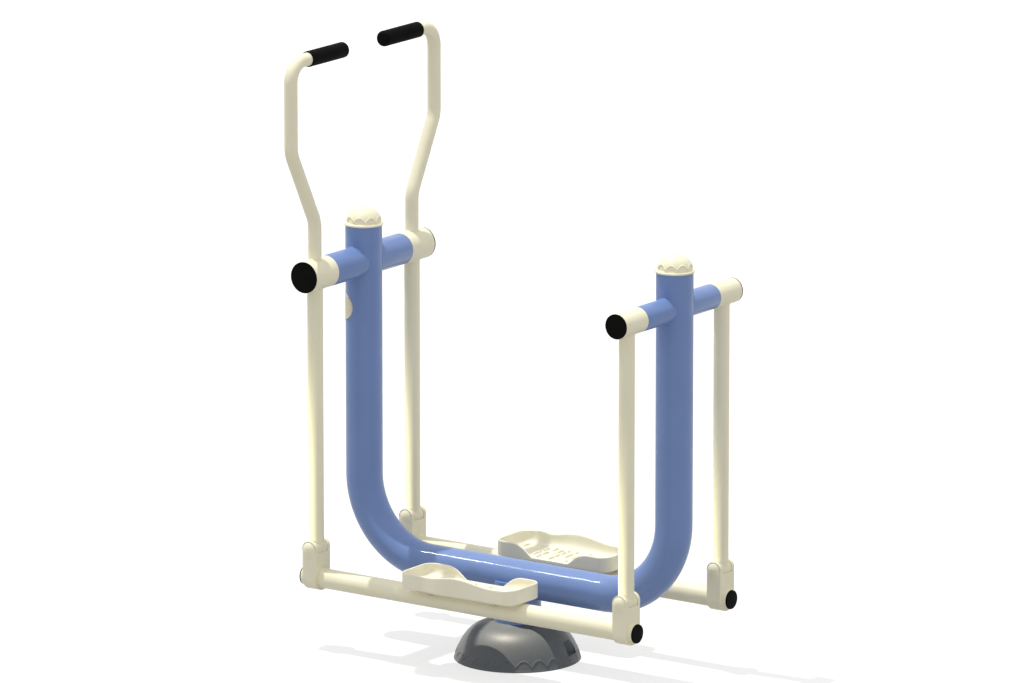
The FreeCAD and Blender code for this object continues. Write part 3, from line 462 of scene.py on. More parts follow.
def swing_arm(x, outer, side):
    """A tube welded to the hub, with a cross barrel on its lower end."""
    shell = Shell()
    y = side * SIDE_Y
    angles = np.arange(72) * 2 * math.pi / 72
    plan = np.stack([np.cos(angles), np.sin(angles)], 1)
    top = BEAM_Z - math.sqrt(outer ** 2 - ARM_R ** 2) + 1.0
    middle = 0.5 * (top + PIVOT_Z)
    rows = []
    for radius, z in ((ARM_BORE_R, top), (ARM_R, top), (ARM_R, middle), (ARM_R, None), (ARM_BORE_R, None)):
        ring = plan * radius
        if z is None:  # the lower end is coped into the barrel
            height = PIVOT_Z + np.sqrt(BARREL_R ** 2 - ring[:, 0] ** 2) - 1.2
        else:
            height = np.full(len(ring), z)
        rows.append(np.column_stack([ring[:, 0] + x, ring[:, 1] + y, height]))
    shell.skin(rows, loop=True)
    barrel = ring_profile(BARREL_R, BARREL_BORE_R, y - BARREL_HALF, y + BARREL_HALF, 1.2)
    lathe(shell, barrel, (x, 0, PIVOT_Z), "Y", 96)
    bead_on_cylinder(shell, (x, y, BEAM_Z), "Y", outer, "Z", ARM_R, -1, 2.0)
    return shell


def handle(side):
    """The bent tube above the front hub, up to the grip's inner end."""
    shell = Shell()
    far = SIDE_Y + HANDLE_OUT
    path = round_corners([
        (SIDE_Y, BEAM_Z + HANDLE_FOOT), (SIDE_Y, BEAM_Z + HANDLE_KNEE), (far, BEAM_Z + HANDLE_TOP_KNEE),
        (far, BEAM_Z + HANDLE_TOP), (HANDLE_END, BEAM_Z + HANDLE_TOP)], HANDLE_BENDS, 24)
    sweep(shell, [(-POST_X, y * side, z) for y, z in path], (1, 0, 0), HANDLE_R, HANDLE_R - HANDLE_WALL, 72)
    hub_r = HUBS["front"][0]
    bead_on_cylinder(shell, (-POST_X, side * SIDE_Y, BEAM_Z), "Y", hub_r, "Z", HANDLE_R, 1, 2.0)
    return shell


def grip(side):
    """A rubber sleeve with a rounded closed end and a thin seam line near its outer end."""
    shell = Shell()
    seam_r = GRIP_R - 0.3
    profile = round_corners([
        (0, GRIP_NEAR), (GRIP_R, GRIP_NEAR), (GRIP_R, GRIP_SEAM), (seam_r, GRIP_SEAM + 0.4),
        (seam_r, GRIP_SEAM + 1.0), (GRIP_R, GRIP_SEAM + 1.4), (GRIP_R, GRIP_FAR), (GRIP_BORE_R, GRIP_FAR),
        (GRIP_BORE_R, HANDLE_END), (0, HANDLE_END)], [8, 0.15, 0, 0, 0.15, 1.6, 0.5, 0], 6)
    lathe(shell, signed(profile, side), (-POST_X, 0, BEAM_Z + HANDLE_TOP), "Y", 80)
    return shell


def foot_bar(side):
    """The level tube that carries the tray."""
    shell = Shell()
    section = ring_profile(BAR_R, BAR_R - TUBE_WALL, -BAR_HALF, BAR_HALF)
    lathe(shell, section, (0, side * SIDE_Y, BAR_Z), "X", 96)
    return shell


def bar_plugs(side):
    """The two black plugs in the bar's ends."""
    shell = Shell()
    root, face = BAR_HALF - PLUG_STEM, BAR_HALF + PLUG_FACE
    corners = [
        (0, root), (PLUG_STEM_R, root), (PLUG_STEM_R, BAR_HALF), (PLUG_R, BAR_HALF),
        (PLUG_R, face), (0, face)]
    profile = round_corners(corners, [1.0, 0, 0.3, 1.0], 4)
    for end in (-1, 1):
        lathe(shell, signed(profile, end), (0, side * SIDE_Y, BAR_Z), "X", 96)
    return shell


dress("main_tube", u_frame(), "frame", "u_frame")
for end_name, (outer, inner, seat, waist, inner_end, outer_start) in HUBS.items():
    x = ENDS[end_name]
    dress(end_name + "_beam", crossbeam(x, outer, inner), "frame", end_name + "_crossbeam")
    for side_name, side in SIDES.items():
        name = side_name + "_" + end_name
        body = name + "_arm"
        dress(name + "_sleeve", hub(x, outer, seat, waist, inner_end, outer_start, side), body, name + "_hub")
        dress(name + "_disc", hub_cap(x, outer, seat, side), body, name + "_hub_cap")
        dress(name + "_stem", swing_arm(x, outer, side), body, name + "_arm")
for side_name, side in SIDES.items():
    dress(side_name + "_bend", handle(side), side_name + "_front_arm", side_name + "_handle")
    dress(side_name + "_sheath", grip(side), side_name + "_front_arm", side_name + "_grip")
    dress(side_name + "_bar", foot_bar(side), side_name + "_foot_bar", side_name + "_foot_bar")
    dress(side_name + "_plugs", bar_plugs(side), side_name + "_foot_bar", side_name + "_bar_plugs")


# ---- forks, cast with soft edges, made from a distance field about the pivot's axis

FORK_HALF = 20.0  # half the width along the bar
FORK_FACE = 29.8  # half the thickness across the bar
ARCH_RISE = 20.6  # top of the cheeks above the pivot
SLOT_HALF = 20.4
SEAT_R = 19.75
SEAT_LIP = -9.2  # height of the seat's lips; the arm passes over them at its limits
DOME_R = 17.2
DOME_BALL = 24.0  # radius of the ball that the dome is cut from
CREASE = 1.6
CREASE_DEPTH = 2.2
CENTRE_R = 1.6
CENTRE_DEPTH = 1.4
FORK_BOX = (-22.3, -38.7, -105.3), (22.3, 38.7, 23.1)
FORK_STEP = 0.8


def rounded_overlap(a, b, radius):
    """The overlap of two fields, with its outer edge rounded."""
    u, v = np.maximum(a + radius, 0), np.maximum(b + radius, 0)
    return np.minimum(-radius, np.maximum(a, b)) + np.hypot(u, v)


def fork_field(points):
    """Two cheeks with round tops beside the slot; a low dome swells the face round the pivot."""
    x, y, z = points[..., 0], np.abs(points[..., 1]), points[..., 2]
    reach = np.hypot(x, z)
    ring = np.hypot(x, np.maximum(z, 0.0))
    ball = np.sqrt(DOME_BALL ** 2 - np.minimum(ring, DOME_R) ** 2)
    swell = ball - math.sqrt(DOME_BALL ** 2 - DOME_R ** 2)
    face = y - FORK_FACE - swell * smoothstep(-30.0, -2.0, z)
    foot = np.hypot(y, z + PIVOT_Z - BAR_Z) - FORK_FACE
    section = np.where(z < BAR_Z - PIVOT_Z, foot, face)
    outline = np.where(z > 0, np.hypot(x, z * FORK_HALF / ARCH_RISE) - FORK_HALF, np.abs(x) - FORK_HALF)
    body = rounded_overlap(section, outline, np.where(z > -4.0, 0.7, 1.8))
    slot = np.maximum(y - SLOT_HALF, np.minimum(reach - SEAT_R, SEAT_LIP - z))
    body = rounded_overlap(body, -slot, 0.35)
    crease = np.maximum.reduce([
        np.abs(ring - DOME_R - CREASE / 2) - CREASE / 2, FORK_FACE - CREASE_DEPTH - y, 0.5 - z])
    centre = np.maximum(reach - CENTRE_R, -CENTRE_DEPTH - section)
    return np.maximum.reduce([body, -crease, -centre])


def surface_net(shell, field, low, high, step):
    """Meshes the zero level of a field with one point for each cell that it crosses."""
    axes = [np.arange(low[k], high[k] + step, step) for k in range(3)]
    grid = np.stack(np.meshgrid(*axes, indexing="ij"), -1)
    value = field(grid)
    cells = tuple(n - 1 for n in value.shape)
    total, count, quads = np.zeros((math.prod(cells), 3)), np.zeros(math.prod(cells)), []
    for k in range(3):
        order = (k, (k + 1) % 3, (k + 2) % 3)
        v, p = value.transpose(order), grid.transpose(*order, 3)
        at = np.argwhere((v[:-1] < 0) != (v[1:] < 0))
        start, end = tuple(at.T), tuple((at + (1, 0, 0)).T)
        share = v[start] / (v[start] - v[end])
        crossing = p[start] + (p[end] - p[start]) * share[:, None]
        loop = []
        for back in ((0, -1, -1), (0, 0, -1), (0, 0, 0), (0, -1, 0)):
            cell = np.empty_like(at)
            cell[:, list(order)] = at + back
            flat = np.ravel_multi_index(tuple(cell.T), cells)
            np.add.at(total, flat, crossing)
            np.add.at(count, flat, 1)
            loop.append(flat)
        loop = np.stack(loop, 1)
        loop[v[start] > 0] = loop[v[start] > 0][:, ::-1]
        quads.append(loop)
    used = np.flatnonzero(count)
    number = np.full(len(count), -1)
    number[used] = np.arange(len(used))
    points = total[used] / count[used][:, None]
    for _ in range(3):
        slope = np.stack([(field(points + h) - field(points - h)) / 0.1 for h in np.eye(3) * 0.05], 1)
        move = field(points)[:, None] * slope / np.maximum((slope ** 2).sum(1), 0.2)[:, None]
        points = points - np.clip(move, -0.3 * step, 0.3 * step)
    shell.add(points)
    shell.faces.extend(tuple(int(i) for i in quad) for quad in number[np.concatenate(quads)])


FORK = Shell()
surface_net(FORK, fork_field, *FORK_BOX, FORK_STEP)
for side_name, side in SIDES.items():
    for end_name, x in ENDS.items():
        shell = Shell()
        shell.verts, shell.faces = list(FORK.verts), list(FORK.faces)
        shell.shift(x, side * SIDE_Y, PIVOT_Z)
        name = side_name + "_" + end_name
        dress(name + "_clevis", shell, side_name + "_foot_bar", name + "_fork", sharp=70)


# ---- post caps

CAP_FLANGE_R = 47.4
CAP_FLANGE_T = 5.5
CAP_DOME_R = 42.5
CAP_DOME_H = 39.5
CAP_SKIRT_R = 41.2
CAP_SKIRT = 18.0
CAP_TEETH = 9
CAP_TOOTH_AT = math.radians(-8.5)
CAP_RELIEF = (3.6, 15.4)  # heights of the teeth's points and of the arches between them
CAP_RELIEF_DEPTH = 2.0
CAP_RELIEF_LIP = 1.2
ARCH_POWER = 0.85  # below 1 the arches are fuller than half a sine


def scallop(angle, height, teeth, first, radius, low, high):
    """Distance above a scalloped edge: pointed teeth down at low, arches between them up to high."""
    turn = (angle - first) * teeth / (2 * math.pi)
    turn = turn - np.floor(turn)
    spots = np.linspace(-0.5, 1.5, 641)
    curve = low + (high - low) * np.abs(np.sin(math.pi * spots)) ** ARCH_POWER
    pitch = 2 * math.pi * radius / teeth
    reach = np.hypot((turn[:, None] - spots) * pitch, height - curve).min(1)
    edge = low + (high - low) * np.sin(math.pi * turn) ** ARCH_POWER
    return np.where(height > edge, reach, -reach)


def relief(above, depth, lip):
    """How far the surface stands out above a scalloped edge, in a bead, and back below it."""
    return lip * np.exp(-((above - 1.4) / 1.0) ** 2) - depth * (1 - smoothstep(-2.0, 0.5, above))


def post_cap(x):
    """A flange on a short skirt, and a dome with the scalloped relief round its foot."""
    shell = Shell()
    angle = np.arange(CAP_TEETH * 36) * 2 * math.pi / (CAP_TEETH * 36)
    corners = [
        (38.0, -CAP_SKIRT), (CAP_SKIRT_R, -CAP_SKIRT), (CAP_SKIRT_R, 0), (CAP_FLANGE_R, 0),
        (CAP_FLANGE_R, CAP_FLANGE_T), (41, CAP_FLANGE_T)]
    rows = [
        [(radius * math.cos(a), radius * math.sin(a), z) for a in angle]
        for radius, z in round_corners(corners, [0.6, 0, 1.6, 2.2], 5)
    ]
    foot, band, crown = np.linspace(0.0, 1.2, 3), np.linspace(1.7, 19, 48), np.linspace(20.5, 39.2, 16)
    for h in np.concatenate([foot, band, crown]):
        polar = math.asin(h / CAP_DOME_H)
        normal = np.array([math.cos(polar) / CAP_DOME_R, math.sin(polar) / CAP_DOME_H])
        normal /= np.linalg.norm(normal)
        fade = float(smoothstep(0.6, 2.2, h))
        above = scallop(angle, h, CAP_TEETH, CAP_TOOTH_AT, CAP_DOME_R, *CAP_RELIEF)
        out = relief(above, CAP_RELIEF_DEPTH, CAP_RELIEF_LIP) * fade - 0.3 * (1 - fade)
        r = CAP_DOME_R * math.cos(polar) + out * normal[0]
        z = CAP_FLANGE_T + h + out * normal[1]
        rows.append(np.stack([r * np.cos(angle), r * np.sin(angle), z], 1))
    ids = shell.skin(rows)
    shell.fan(ids[-1], (0, 0, CAP_FLANGE_T + CAP_DOME_H))
    shell.fan(ids[0], (0, 0, -CAP_SKIRT), flip=True)
    shell.shift(x, 0, POST_TOP_Z)
    return shell


for end_name, x in ENDS.items():
    dress(end_name + "_cap", post_cap(x), "frame", end_name + "_post_cap", sharp=50)


# ---- bell-shaped cover, in two halves

COVER_R = 153.0
COVER_H = 93.5
COVER_NECK_R = 57.45
COVER_WALL = 3.0
COVER_FLANK = (93.7, math.radians(17.3))  # handles of the bell's curve: length, and lean from upright
COVER_CROWN = (34.9, math.radians(22.6))  # length, and pitch from level
COVER_TEETH = 24
COVER_TOOTH_AT = math.radians(-41.5)
COVER_RELIEF = (8.2, 24.5)
COVER_RELIEF_TOP = 32.0
COVER_RELIEF_DEPTH = 0.5
COVER_RELIEF_LIP = 1.0
COVER_SPLIT = 0.1  # half the gap between the two halves
POCKET = {"near": 6.0, "far": 50.0, "flat": 17.0, "floor": 112.0, "ramp": 130.0, "low": 21.0, "high": 54.0}


def cover_profile(inset):
    """The bell's flank and crown as dense (radius, z) points on a cubic curve."""
    (flank, lean), (crown, pitch) = COVER_FLANK, COVER_CROWN
    base, top = COVER_R - inset, COVER_H - inset
    a, b, c, d = np.array([
        (base, 0),
        (base - flank * math.sin(lean), flank * math.cos(lean)),
        (COVER_NECK_R + crown * math.cos(pitch), top - crown * math.sin(pitch)),
        (COVER_NECK_R, top),
    ])
    t = np.linspace(0, 1, 1500)[:, None]
    return (1 - t) ** 3 * a + 3 * (1 - t) ** 2 * t * b + 3 * (1 - t) * t * t * c + t ** 3 * d


def at_lengths(curve, count):
    """Points spaced evenly along a curve."""
    run = np.concatenate([[0], np.cumsum(np.linalg.norm(np.diff(curve, axis=0), axis=1))])
    return np.stack([np.interp(np.linspace(0, run[-1], count), run, curve[:, k]) for k in (0, 1)], 1)


def cover_rows(inset):
    """Rows of (radius, z, is inside the pocket's height), with a pair of rows at each pocket edge."""
    curve = cover_profile(inset)
    low, high = POCKET["low"] - inset, POCKET["high"] + inset
    rows = []
    for start, end, count, inside in ((0.0, low, 30, False), (low, high, 42, True), (high, high, 1, False)):
        for z in np.linspace(start, end, count):
            rows.append((np.interp(z, curve[:, 1], curve[:, 0]), z, inside))
    for r, z in at_lengths(curve[curve[:, 1] > high], 26)[1:]:
        rows.append((r, z, False))
    return rows


def cover_sheet(inset):
    """One face of the cover's half with the pocket let in at its +X end."""
    near, far = POCKET["near"] - inset, POCKET["far"] + inset
    floor, ramp = POCKET["floor"] - inset, POCKET["ramp"] - inset
    flat = POCKET["flat"]
    sheet = []
    for r, z, inside in cover_rows(inset):
        turn_near, turn_far = (math.asin(min(1, y / max(r, 58))) for y in (near, far))
        start = math.asin(COVER_SPLIT / r)
        parts = [
            np.linspace(start, turn_near, 6),
            np.linspace(turn_near, turn_far, 40),
            np.linspace(turn_far, math.pi - start, 420),
        ]
        row = []
        for index, angles in enumerate(parts):
            radius = np.full(len(angles), r)
            if inset == 0 and z < COVER_RELIEF_TOP:
                above = scallop(angles, z, COVER_TEETH, COVER_TOOTH_AT, COVER_R, *COVER_RELIEF)
                fade = float(smoothstep(3.4, 5.2, z))
                radius = radius + relief(above, COVER_RELIEF_DEPTH, COVER_RELIEF_LIP) * fade
            x, y = radius * np.cos(angles), radius * np.sin(angles)
            if index == 1 and inside:
                ramped = np.interp(y, [flat, far], [floor, ramp])
                x = np.minimum(x, np.where(y < flat, floor, ramped))
            row.append(np.stack([x, y, np.full(len(angles), z)], 1))
        sheet.append(np.concatenate(row))
    return sheet


def cover_half(side):
    """Half of the bell as a closed sheet; the other half is the same one turned round."""
    shell = Shell()
    outer = shell.skin(cover_sheet(0), closed=False)
    inner = shell.skin([row[::-1] for row in cover_sheet(COVER_WALL)], closed=False)
    inner = [ids[::-1] for ids in inner]
    shell.strip(inner[0], outer[0], closed=False)
    shell.strip(outer[-1], inner[-1], closed=False)
    shell.strip([ids[0] for ids in outer], [ids[0] for ids in inner], closed=False)
    shell.strip([ids[-1] for ids in inner], [ids[-1] for ids in outer], closed=False)
    if side < 0:
        shell.verts = [(-x, -y, z) for x, y, z in shell.verts]
    return shell


for side_name, side in SIDES.items():
    dress(side_name + "_cover", cover_half(side), "frame", "base_cover_" + side_name, sharp=40)


# ---- foot trays, made about the bar's axis with +Y outboard and z from the underside

TRAY_HALF = 166.0
TRAY_WALL = 5.0
TRAY_FLOOR = 7.0
TRAY_RIM = 38.0
TRAY_FOOT = 3.0  # radius of the edge under the wall
TRAY_DRAFT = 0.25  # how far the wall leans in up to its rim
TRAY_FILLET = 24.0
TRAY_Z = 201.15
TRAY_ROWS = 64
BOLT_SPOTS = [(x, y) for x in (-90.0, 90.0) for y in (-32.0, 32.0)]
BOLT_RISE = 0.4


def clamped_spline(xs, ys):
    """A cubic spline through the points with level ends, as a function."""
    xs, ys = np.array(xs, float), np.array(ys, float)
    count = len(xs)
    matrix, right = np.zeros((count, count)), np.zeros(count)
    matrix[0, 0] = matrix[-1, -1] = 1
    for i in range(1, count - 1):
        before, after = xs[i] - xs[i - 1], xs[i + 1] - xs[i]
        matrix[i, i - 1:i + 2] = 1 / before, 2 / before + 2 / after, 1 / after
        right[i] = 3 * ((ys[i] - ys[i - 1]) / before ** 2 + (ys[i + 1] - ys[i]) / after ** 2)
    slopes = np.linalg.solve(matrix, right)

    def value(x):
        x = np.clip(np.asarray(x, float), xs[0], xs[-1])
        k = np.clip(np.searchsorted(xs, x) - 1, 0, count - 2)
        h = xs[k + 1] - xs[k]
        t = (x - xs[k]) / h
        return ((2 * t ** 3 - 3 * t ** 2 + 1) * ys[k] + (t ** 3 - 2 * t ** 2 + t) * h * slopes[k]
                + (3 * t ** 2 - 2 * t ** 3) * ys[k + 1] + (t ** 3 - t ** 2) * h * slopes[k + 1])

    return value


OUTBOARD_RIM = clamped_spline([-170, -108, -84, -4, 95, 170], [38, 39.2, 38, 47, 35.6, 38])
OUTBOARD_WAVE = clamped_spline([-131, -91, -60, 0, 137], [67.5, 63.5, 67.5, 65.5, 62.0])
INBOARD_RIM = np.array(round_corners(
    [(-170, 38), (-89.4, 38), (-53, 9), (53, 9), (89.4, 38), (170, 38)], [64, 8, 8, 64], 14))
# per long side: y and corner radius at the toe's end, then at the heel's
PLAN = {"outboard": (67.5, 35.0, 62.0, 29.0), "inboard": (66.0, 29.0, 66.0, 29.0)}


def tray_side(name):
    """Plan points, outward normals and rim heights of one long side, from the toe's end to the heel's."""
    toe_y, toe_r, heel_y, heel_r = PLAN[name]
    points, normals = [], []
    for a in np.radians(np.linspace(0, 90, 13)):
        n = np.array((-math.cos(a), math.sin(a)))
        points.append(np.array((-TRAY_HALF + toe_r, toe_y - toe_r)) + toe_r * n)
        normals.append(n)
    for x in np.linspace(-TRAY_HALF + toe_r, TRAY_HALF - heel_r, 240)[1:-1]:
        slope, y = 0.0, toe_y
        if name == "outboard":
            slope = float(OUTBOARD_WAVE(x + 0.5) - OUTBOARD_WAVE(x - 0.5))
            y = float(OUTBOARD_WAVE(x))
        n = np.array((-slope, 1.0))
        points.append(np.array((x, y)))
        normals.append(n / np.linalg.norm(n))
    for a in np.radians(np.linspace(90, 0, 13)):
        n = np.array((math.cos(a), math.sin(a)))
        points.append(np.array((TRAY_HALF - heel_r, heel_y - heel_r)) + heel_r * n)
        normals.append(n)
    points, normals = np.array(points), np.array(normals)
    if name == "outboard":
        return points, normals, OUTBOARD_RIM(points[:, 0])
    rims = np.interp(points[:, 0], INBOARD_RIM[:, 0], INBOARD_RIM[:, 1])
    return points * (1, -1), normals * (1, -1), rims


TREADS = [
    # x, then the ends in y of each short wavy rib
    (-137.0, (20.0, 50.0)),
    (-71.0, (-34.0, 2.0), (12.0, 38.0)),
    (-52.0, (-46.0, -25.0), (-20.0, 10.0), (24.0, 46.0)),
    (-31.0, (12.0, 40.0)),
    (-14.0, (-49.0, -26.0), (-20.0, -2.0), (4.0, 24.0), (32.0, 48.0)),
    (9.0, (-12.0, 22.0), (30.0, 47.0)),
    (33.0, (-48.0, -34.0), (-18.0, 8.0)),
    (46.0, (36.0, 47.0)),
]
# distance from the rib's middle, and height over the tray's floor
TREAD_SECTION = [
    (-2.6, -1.0), (-2.4, 0.0), (-2.2, 3.7), (-1.7, 4.3), (1.7, 4.3), (2.2, 3.7), (2.4, 0.0), (2.6, -1.0)]
TREAD_WAVE = 1.5
TREAD_PITCH = 17.0
TREAD_STEP = 0.7
TREAD_TAPER = 2.5  # length of the taper at each end


def tread(shell, x, start, end):
    """A short steep rib that waves along the tray's width and tapers at its ends."""
    rows = []
    for y in np.linspace(start, end, int((end - start) / TREAD_STEP) + 2):
        taper = math.sqrt(min(1.0, 0.08 + min(y - start, end - y) / TREAD_TAPER))
        middle = x + TREAD_WAVE * math.sin(2 * math.pi * (y - start) / TREAD_PITCH)
        rows.append([
            (middle + across * taper, y, TRAY_FLOOR + height * (taper if height > 0 else 1.0))
            for across, height in TREAD_SECTION
        ])
    ids = shell.skin(rows)
    shell.faces.append(tuple(ids[0]))
    shell.faces.append(tuple(ids[-1][::-1]))


def bolt_rise(x, y):
    """Low bosses over the bolt heads."""
    return sum(BOLT_RISE * (1 - smoothstep(8.2, 9.6, np.hypot(x - a, y - b))) for a, b in BOLT_SPOTS)


def tray():
    """One tray: rings up the outside, over the rim and down the inside, then a floor on each face."""
    outboard, inboard = tray_side("outboard"), tray_side("inboard")
    last = len(outboard[0]) - 1
    blend_rows = np.linspace(0, 1, TRAY_ROWS + 1)[1:-1]
    heel = [inboard[0][last] + (outboard[0][last] - inboard[0][last]) * t for t in blend_rows]
    toe = [outboard[0][0] + (inboard[0][0] - outboard[0][0]) * t for t in blend_rows]
    points = np.concatenate([inboard[0], heel, outboard[0][::-1], toe])
    normals = np.concatenate([
        inboard[1], [(1.0, 0.0)] * len(heel), outboard[1][::-1], [(-1.0, 0.0)] * len(toe)])
    rims = np.concatenate([inboard[2], [TRAY_RIM] * len(heel), outboard[2][::-1], [TRAY_RIM] * len(toe)])
    rise = rims - TRAY_FLOOR
    fillet = np.clip(rise * 0.62, 0.9, TRAY_FILLET)
    lip = np.clip(rise * 0.45, 0.7, 2.4)
    shell = Shell()

    def loop(inset, z):
        place = points - normals * np.broadcast_to(inset, (len(points),))[:, None]
        return np.column_stack([place, np.broadcast_to(z, (len(points),))])

    rings = []
    for a in np.radians(np.linspace(0, 90, 6)):
        rings.append(loop(TRAY_FOOT * (1 - math.sin(a)), TRAY_FOOT * (1 - math.cos(a))))
    for share in (0.15, 0.4, 0.7, 0.9):
        rings.append(loop(TRAY_DRAFT * share, TRAY_FOOT + (rims - lip - TRAY_FOOT) * share))
    half_wall = TRAY_WALL / 2
    for a in np.radians(np.linspace(0, 180, 9)):
        inset = half_wall - half_wall * math.cos(a) + TRAY_DRAFT * math.cos(a / 2) ** 2
        rings.append(loop(inset, rims - lip + lip * math.sin(a)))
    for share in (0.3, 0.65):
        rings.append(loop(TRAY_WALL, rims - lip + (TRAY_FLOOR + fillet - rims + lip) * share))
    for a in np.radians(np.linspace(0, 90, 8)):
        rings.append(loop(TRAY_WALL + fillet * (1 - math.cos(a)), TRAY_FLOOR + fillet * (1 - math.sin(a))))
    ids = shell.skin(rings)

    def lid(edge_ids, flip, bosses):
        """Fills a loop with rows along the tray, one after the other from its inboard side."""
        edge = np.array([shell.verts[i] for i in edge_ids])
        low_side = list(edge_ids[:last + 1])
        high_start = last + 1 + len(heel)
        high_side = list(edge_ids[high_start:high_start + last + 1])[::-1]
        heel_ids = list(edge_ids[last + 1:high_start])
        toe_ids = list(edge_ids[high_start + last + 1:])[::-1]
        low, high = edge[:last + 1], edge[high_start:high_start + last + 1][::-1]
        rows = [low_side]
        for k, t in enumerate(blend_rows):
            line = low + (high - low) * t
            if bosses:
                line[:, 2] = TRAY_FLOOR + bolt_rise(line[:, 0], line[:, 1])
            inner = shell.add(line[1:-1])
            rows.append([toe_ids[k], *inner, heel_ids[k]])
        rows.append(high_side)
        for a, b in zip(rows, rows[1:]):
            shell.strip(b if flip else a, a if flip else b, closed=False)

    lid(ids[-1], False, True)
    lid(ids[0], True, False)
    for x, *ribs in TREADS:
        for start, end in ribs:
            tread(shell, x, start, end)
    return shell


for side_name, side in SIDES.items():
    shell = tray()
    if side < 0:
        shell.mirror_y()
    shell.shift(0, side * SIDE_Y, TRAY_Z)
    dress(side_name + "_tray", shell, side_name + "_foot_bar", side_name + "_foot_tray", sharp=50)


# ---- label plate, rolled round the front of the handle-side post

LABEL_Z = 806.0
LABEL_R = 44.5  # the plate's back, just off the post's face
LABEL_HALF_W = 68.5  # measured round the post
LABEL_HALF_H = 38.5
LABEL_POWER = 2.3  # 2 would be an ellipse, more is squarer
LABEL_FIELD = 1.08
# distance in from the outline, and height over the plate's back
LABEL_EDGE = [
    (0.0, 0.0), (0.0, 1.05), (0.25, 1.4), (0.6, 1.5), (2.6, 1.5), (3.0, 1.4), (3.3, 1.15),
    (3.6, LABEL_FIELD)]
RIVET_AT = 61.0  # either side of the plate's middle, measured round the post
RIVET_FOOT = 1.0  # height of a rivet's foot over the plate's back


def label_plate():
    """A blank squared oval with a raised edge round a level field, curved like the tube on both faces."""
    shell = Shell()
    turns = np.arange(192) * 2 * math.pi / 192
    power = 2 / LABEL_POWER
    across = np.sign(np.cos(turns)) * np.abs(np.cos(turns)) ** power * LABEL_HALF_W
    up = np.sign(np.sin(turns)) * np.abs(np.sin(turns)) ** power * LABEL_HALF_H

    def ring(wide, tall, height):
        angle = math.pi - across * wide / LABEL_R
        r = LABEL_R + height
        return np.stack([-POST_X + r * np.cos(angle), r * np.sin(angle), LABEL_Z + up * tall], 1)

    rows = [ring(1 - inset / LABEL_HALF_W, 1 - inset / LABEL_HALF_H, height) for inset, height in LABEL_EDGE]
    shares = np.linspace(0.9, 0.05, 18)
    rows += [ring(share, share, LABEL_FIELD) for share in shares]
    ids = shell.skin(rows)
    back = shell.skin([ring(share, share, 0.0) for share in shares[::-1]])
    shell.strip(back[-1], ids[0], closed=True)
    shell.fan(ids[-1], (-POST_X - LABEL_R - LABEL_FIELD, 0, LABEL_Z))
    shell.fan(back[0], (-POST_X - LABEL_R, 0, LABEL_Z), flip=True)
    return shell


def label_rivets():
    """Two hollow rivet heads, each with a low dome and a dimple in its middle."""
    shell = Shell()
    corners = [(0, 0.4), (1.3, 0.4), (1.5, 1.6), (2.6, 1.5), (4.0, 0.5), (4.0, 0), (0, 0)]
    profile = round_corners(corners, [0.2, 0.3, 1.0, 0.5, 0], 4)
    turns = np.arange(32) * 2 * math.pi / 32
    for angle in (-RIVET_AT / LABEL_R, RIVET_AT / LABEL_R):
        out = np.array((-math.cos(angle), math.sin(angle)))
        side = np.array((-out[1], out[0]))
        rows = []
        for radius, height in profile:
            plan = out * (LABEL_R + RIVET_FOOT + height) + side * (radius * np.cos(turns))[:, None]
            rows.append(np.column_stack([
                plan[:, 0] - POST_X, plan[:, 1], LABEL_Z + radius * np.sin(turns)]))
        shell.skin(rows)
    return shell


dress("label", label_plate(), "frame", "label_plate", sharp=40)
dress("rivets", label_rivets(), "frame", "label_rivets", sharp=50)


# ---- camera, floor and light

camera_data = bpy.data.cameras.new("camera")
camera_data.sensor_width = 36.0
camera_data.lens = 346.9
camera_data.clip_start = 1.0
camera_data.clip_end = 200.0
camera = bpy.data.objects.new("camera", camera_data)
scene.collection.objects.link(camera)
camera.location = (13.23393, -18.68538, 6.06433)
aim = Vector((-0.02877, 0.01782, 0.76922))
camera.rotation_mode = "QUATERNION"
camera.rotation_quaternion = (aim - camera.location).to_track_quat("-Z", "Y")
scene.camera = camera

scene.view_settings.view_transform = "Standard"


def towards_eye(nodes):
    """1 for rays from the camera, a reflection or a refraction."""
    path = nodes.new("ShaderNodeLightPath").outputs
    either = nodes.new("ShaderNodeMath", {
        0: path["Is Camera Ray"], 1: path["Is Glossy Ray"]}, operation="MAXIMUM").outputs[0]
    return nodes.new("ShaderNodeMath", {
        0: either, 1: path["Is Transmission Ray"]}, operation="MAXIMUM").outputs[0]


FLOOR_GLOW = 0.64
FLOOR_HALF = 14.0  # metres
FLOOR_Z = -0.0005  # metres; just under the part, so that the two never meet
AMBIENT = 0.52
AMBIENT_ALOFT = 1.8  # times as strong straight above as at the horizon
SUN = 2.35
SUN_WIDTH = math.radians(0.7)
SUN_FROM = (-0.2745, -0.025, 0.961)


def floor_material():
    """Pale ground that takes shadows, lifted to white where the camera sees it in full light."""
    material = bpy.data.materials.new("studio_floor")
    material.use_nodes = True
    nodes = Nodes(material.node_tree)
    place = nodes.new("ShaderNodeTexCoord").outputs["Object"]
    tone = nodes.new("ShaderNodeMix", {
        0: noise(nodes, place, 1.5),
        6: linear(159, 159, 159),
        7: linear(164, 164, 164),
    }, data_type="RGBA").outputs[2]
    ground = nodes.new("ShaderNodeBsdfDiffuse", {"Color": tone}).outputs[0]
    glow = nodes.new("ShaderNodeEmission", {"Color": (1, 1, 1, 1), "Strength": FLOOR_GLOW}).outputs[0]
    lifted = nodes.new("ShaderNodeAddShader", {0: ground, 1: glow}).outputs[0]
    out = nodes.new("ShaderNodeMixShader", {0: towards_eye(nodes), 1: ground, 2: lifted}).outputs[0]
    nodes.new("ShaderNodeOutputMaterial", {"Surface": out})
    return material


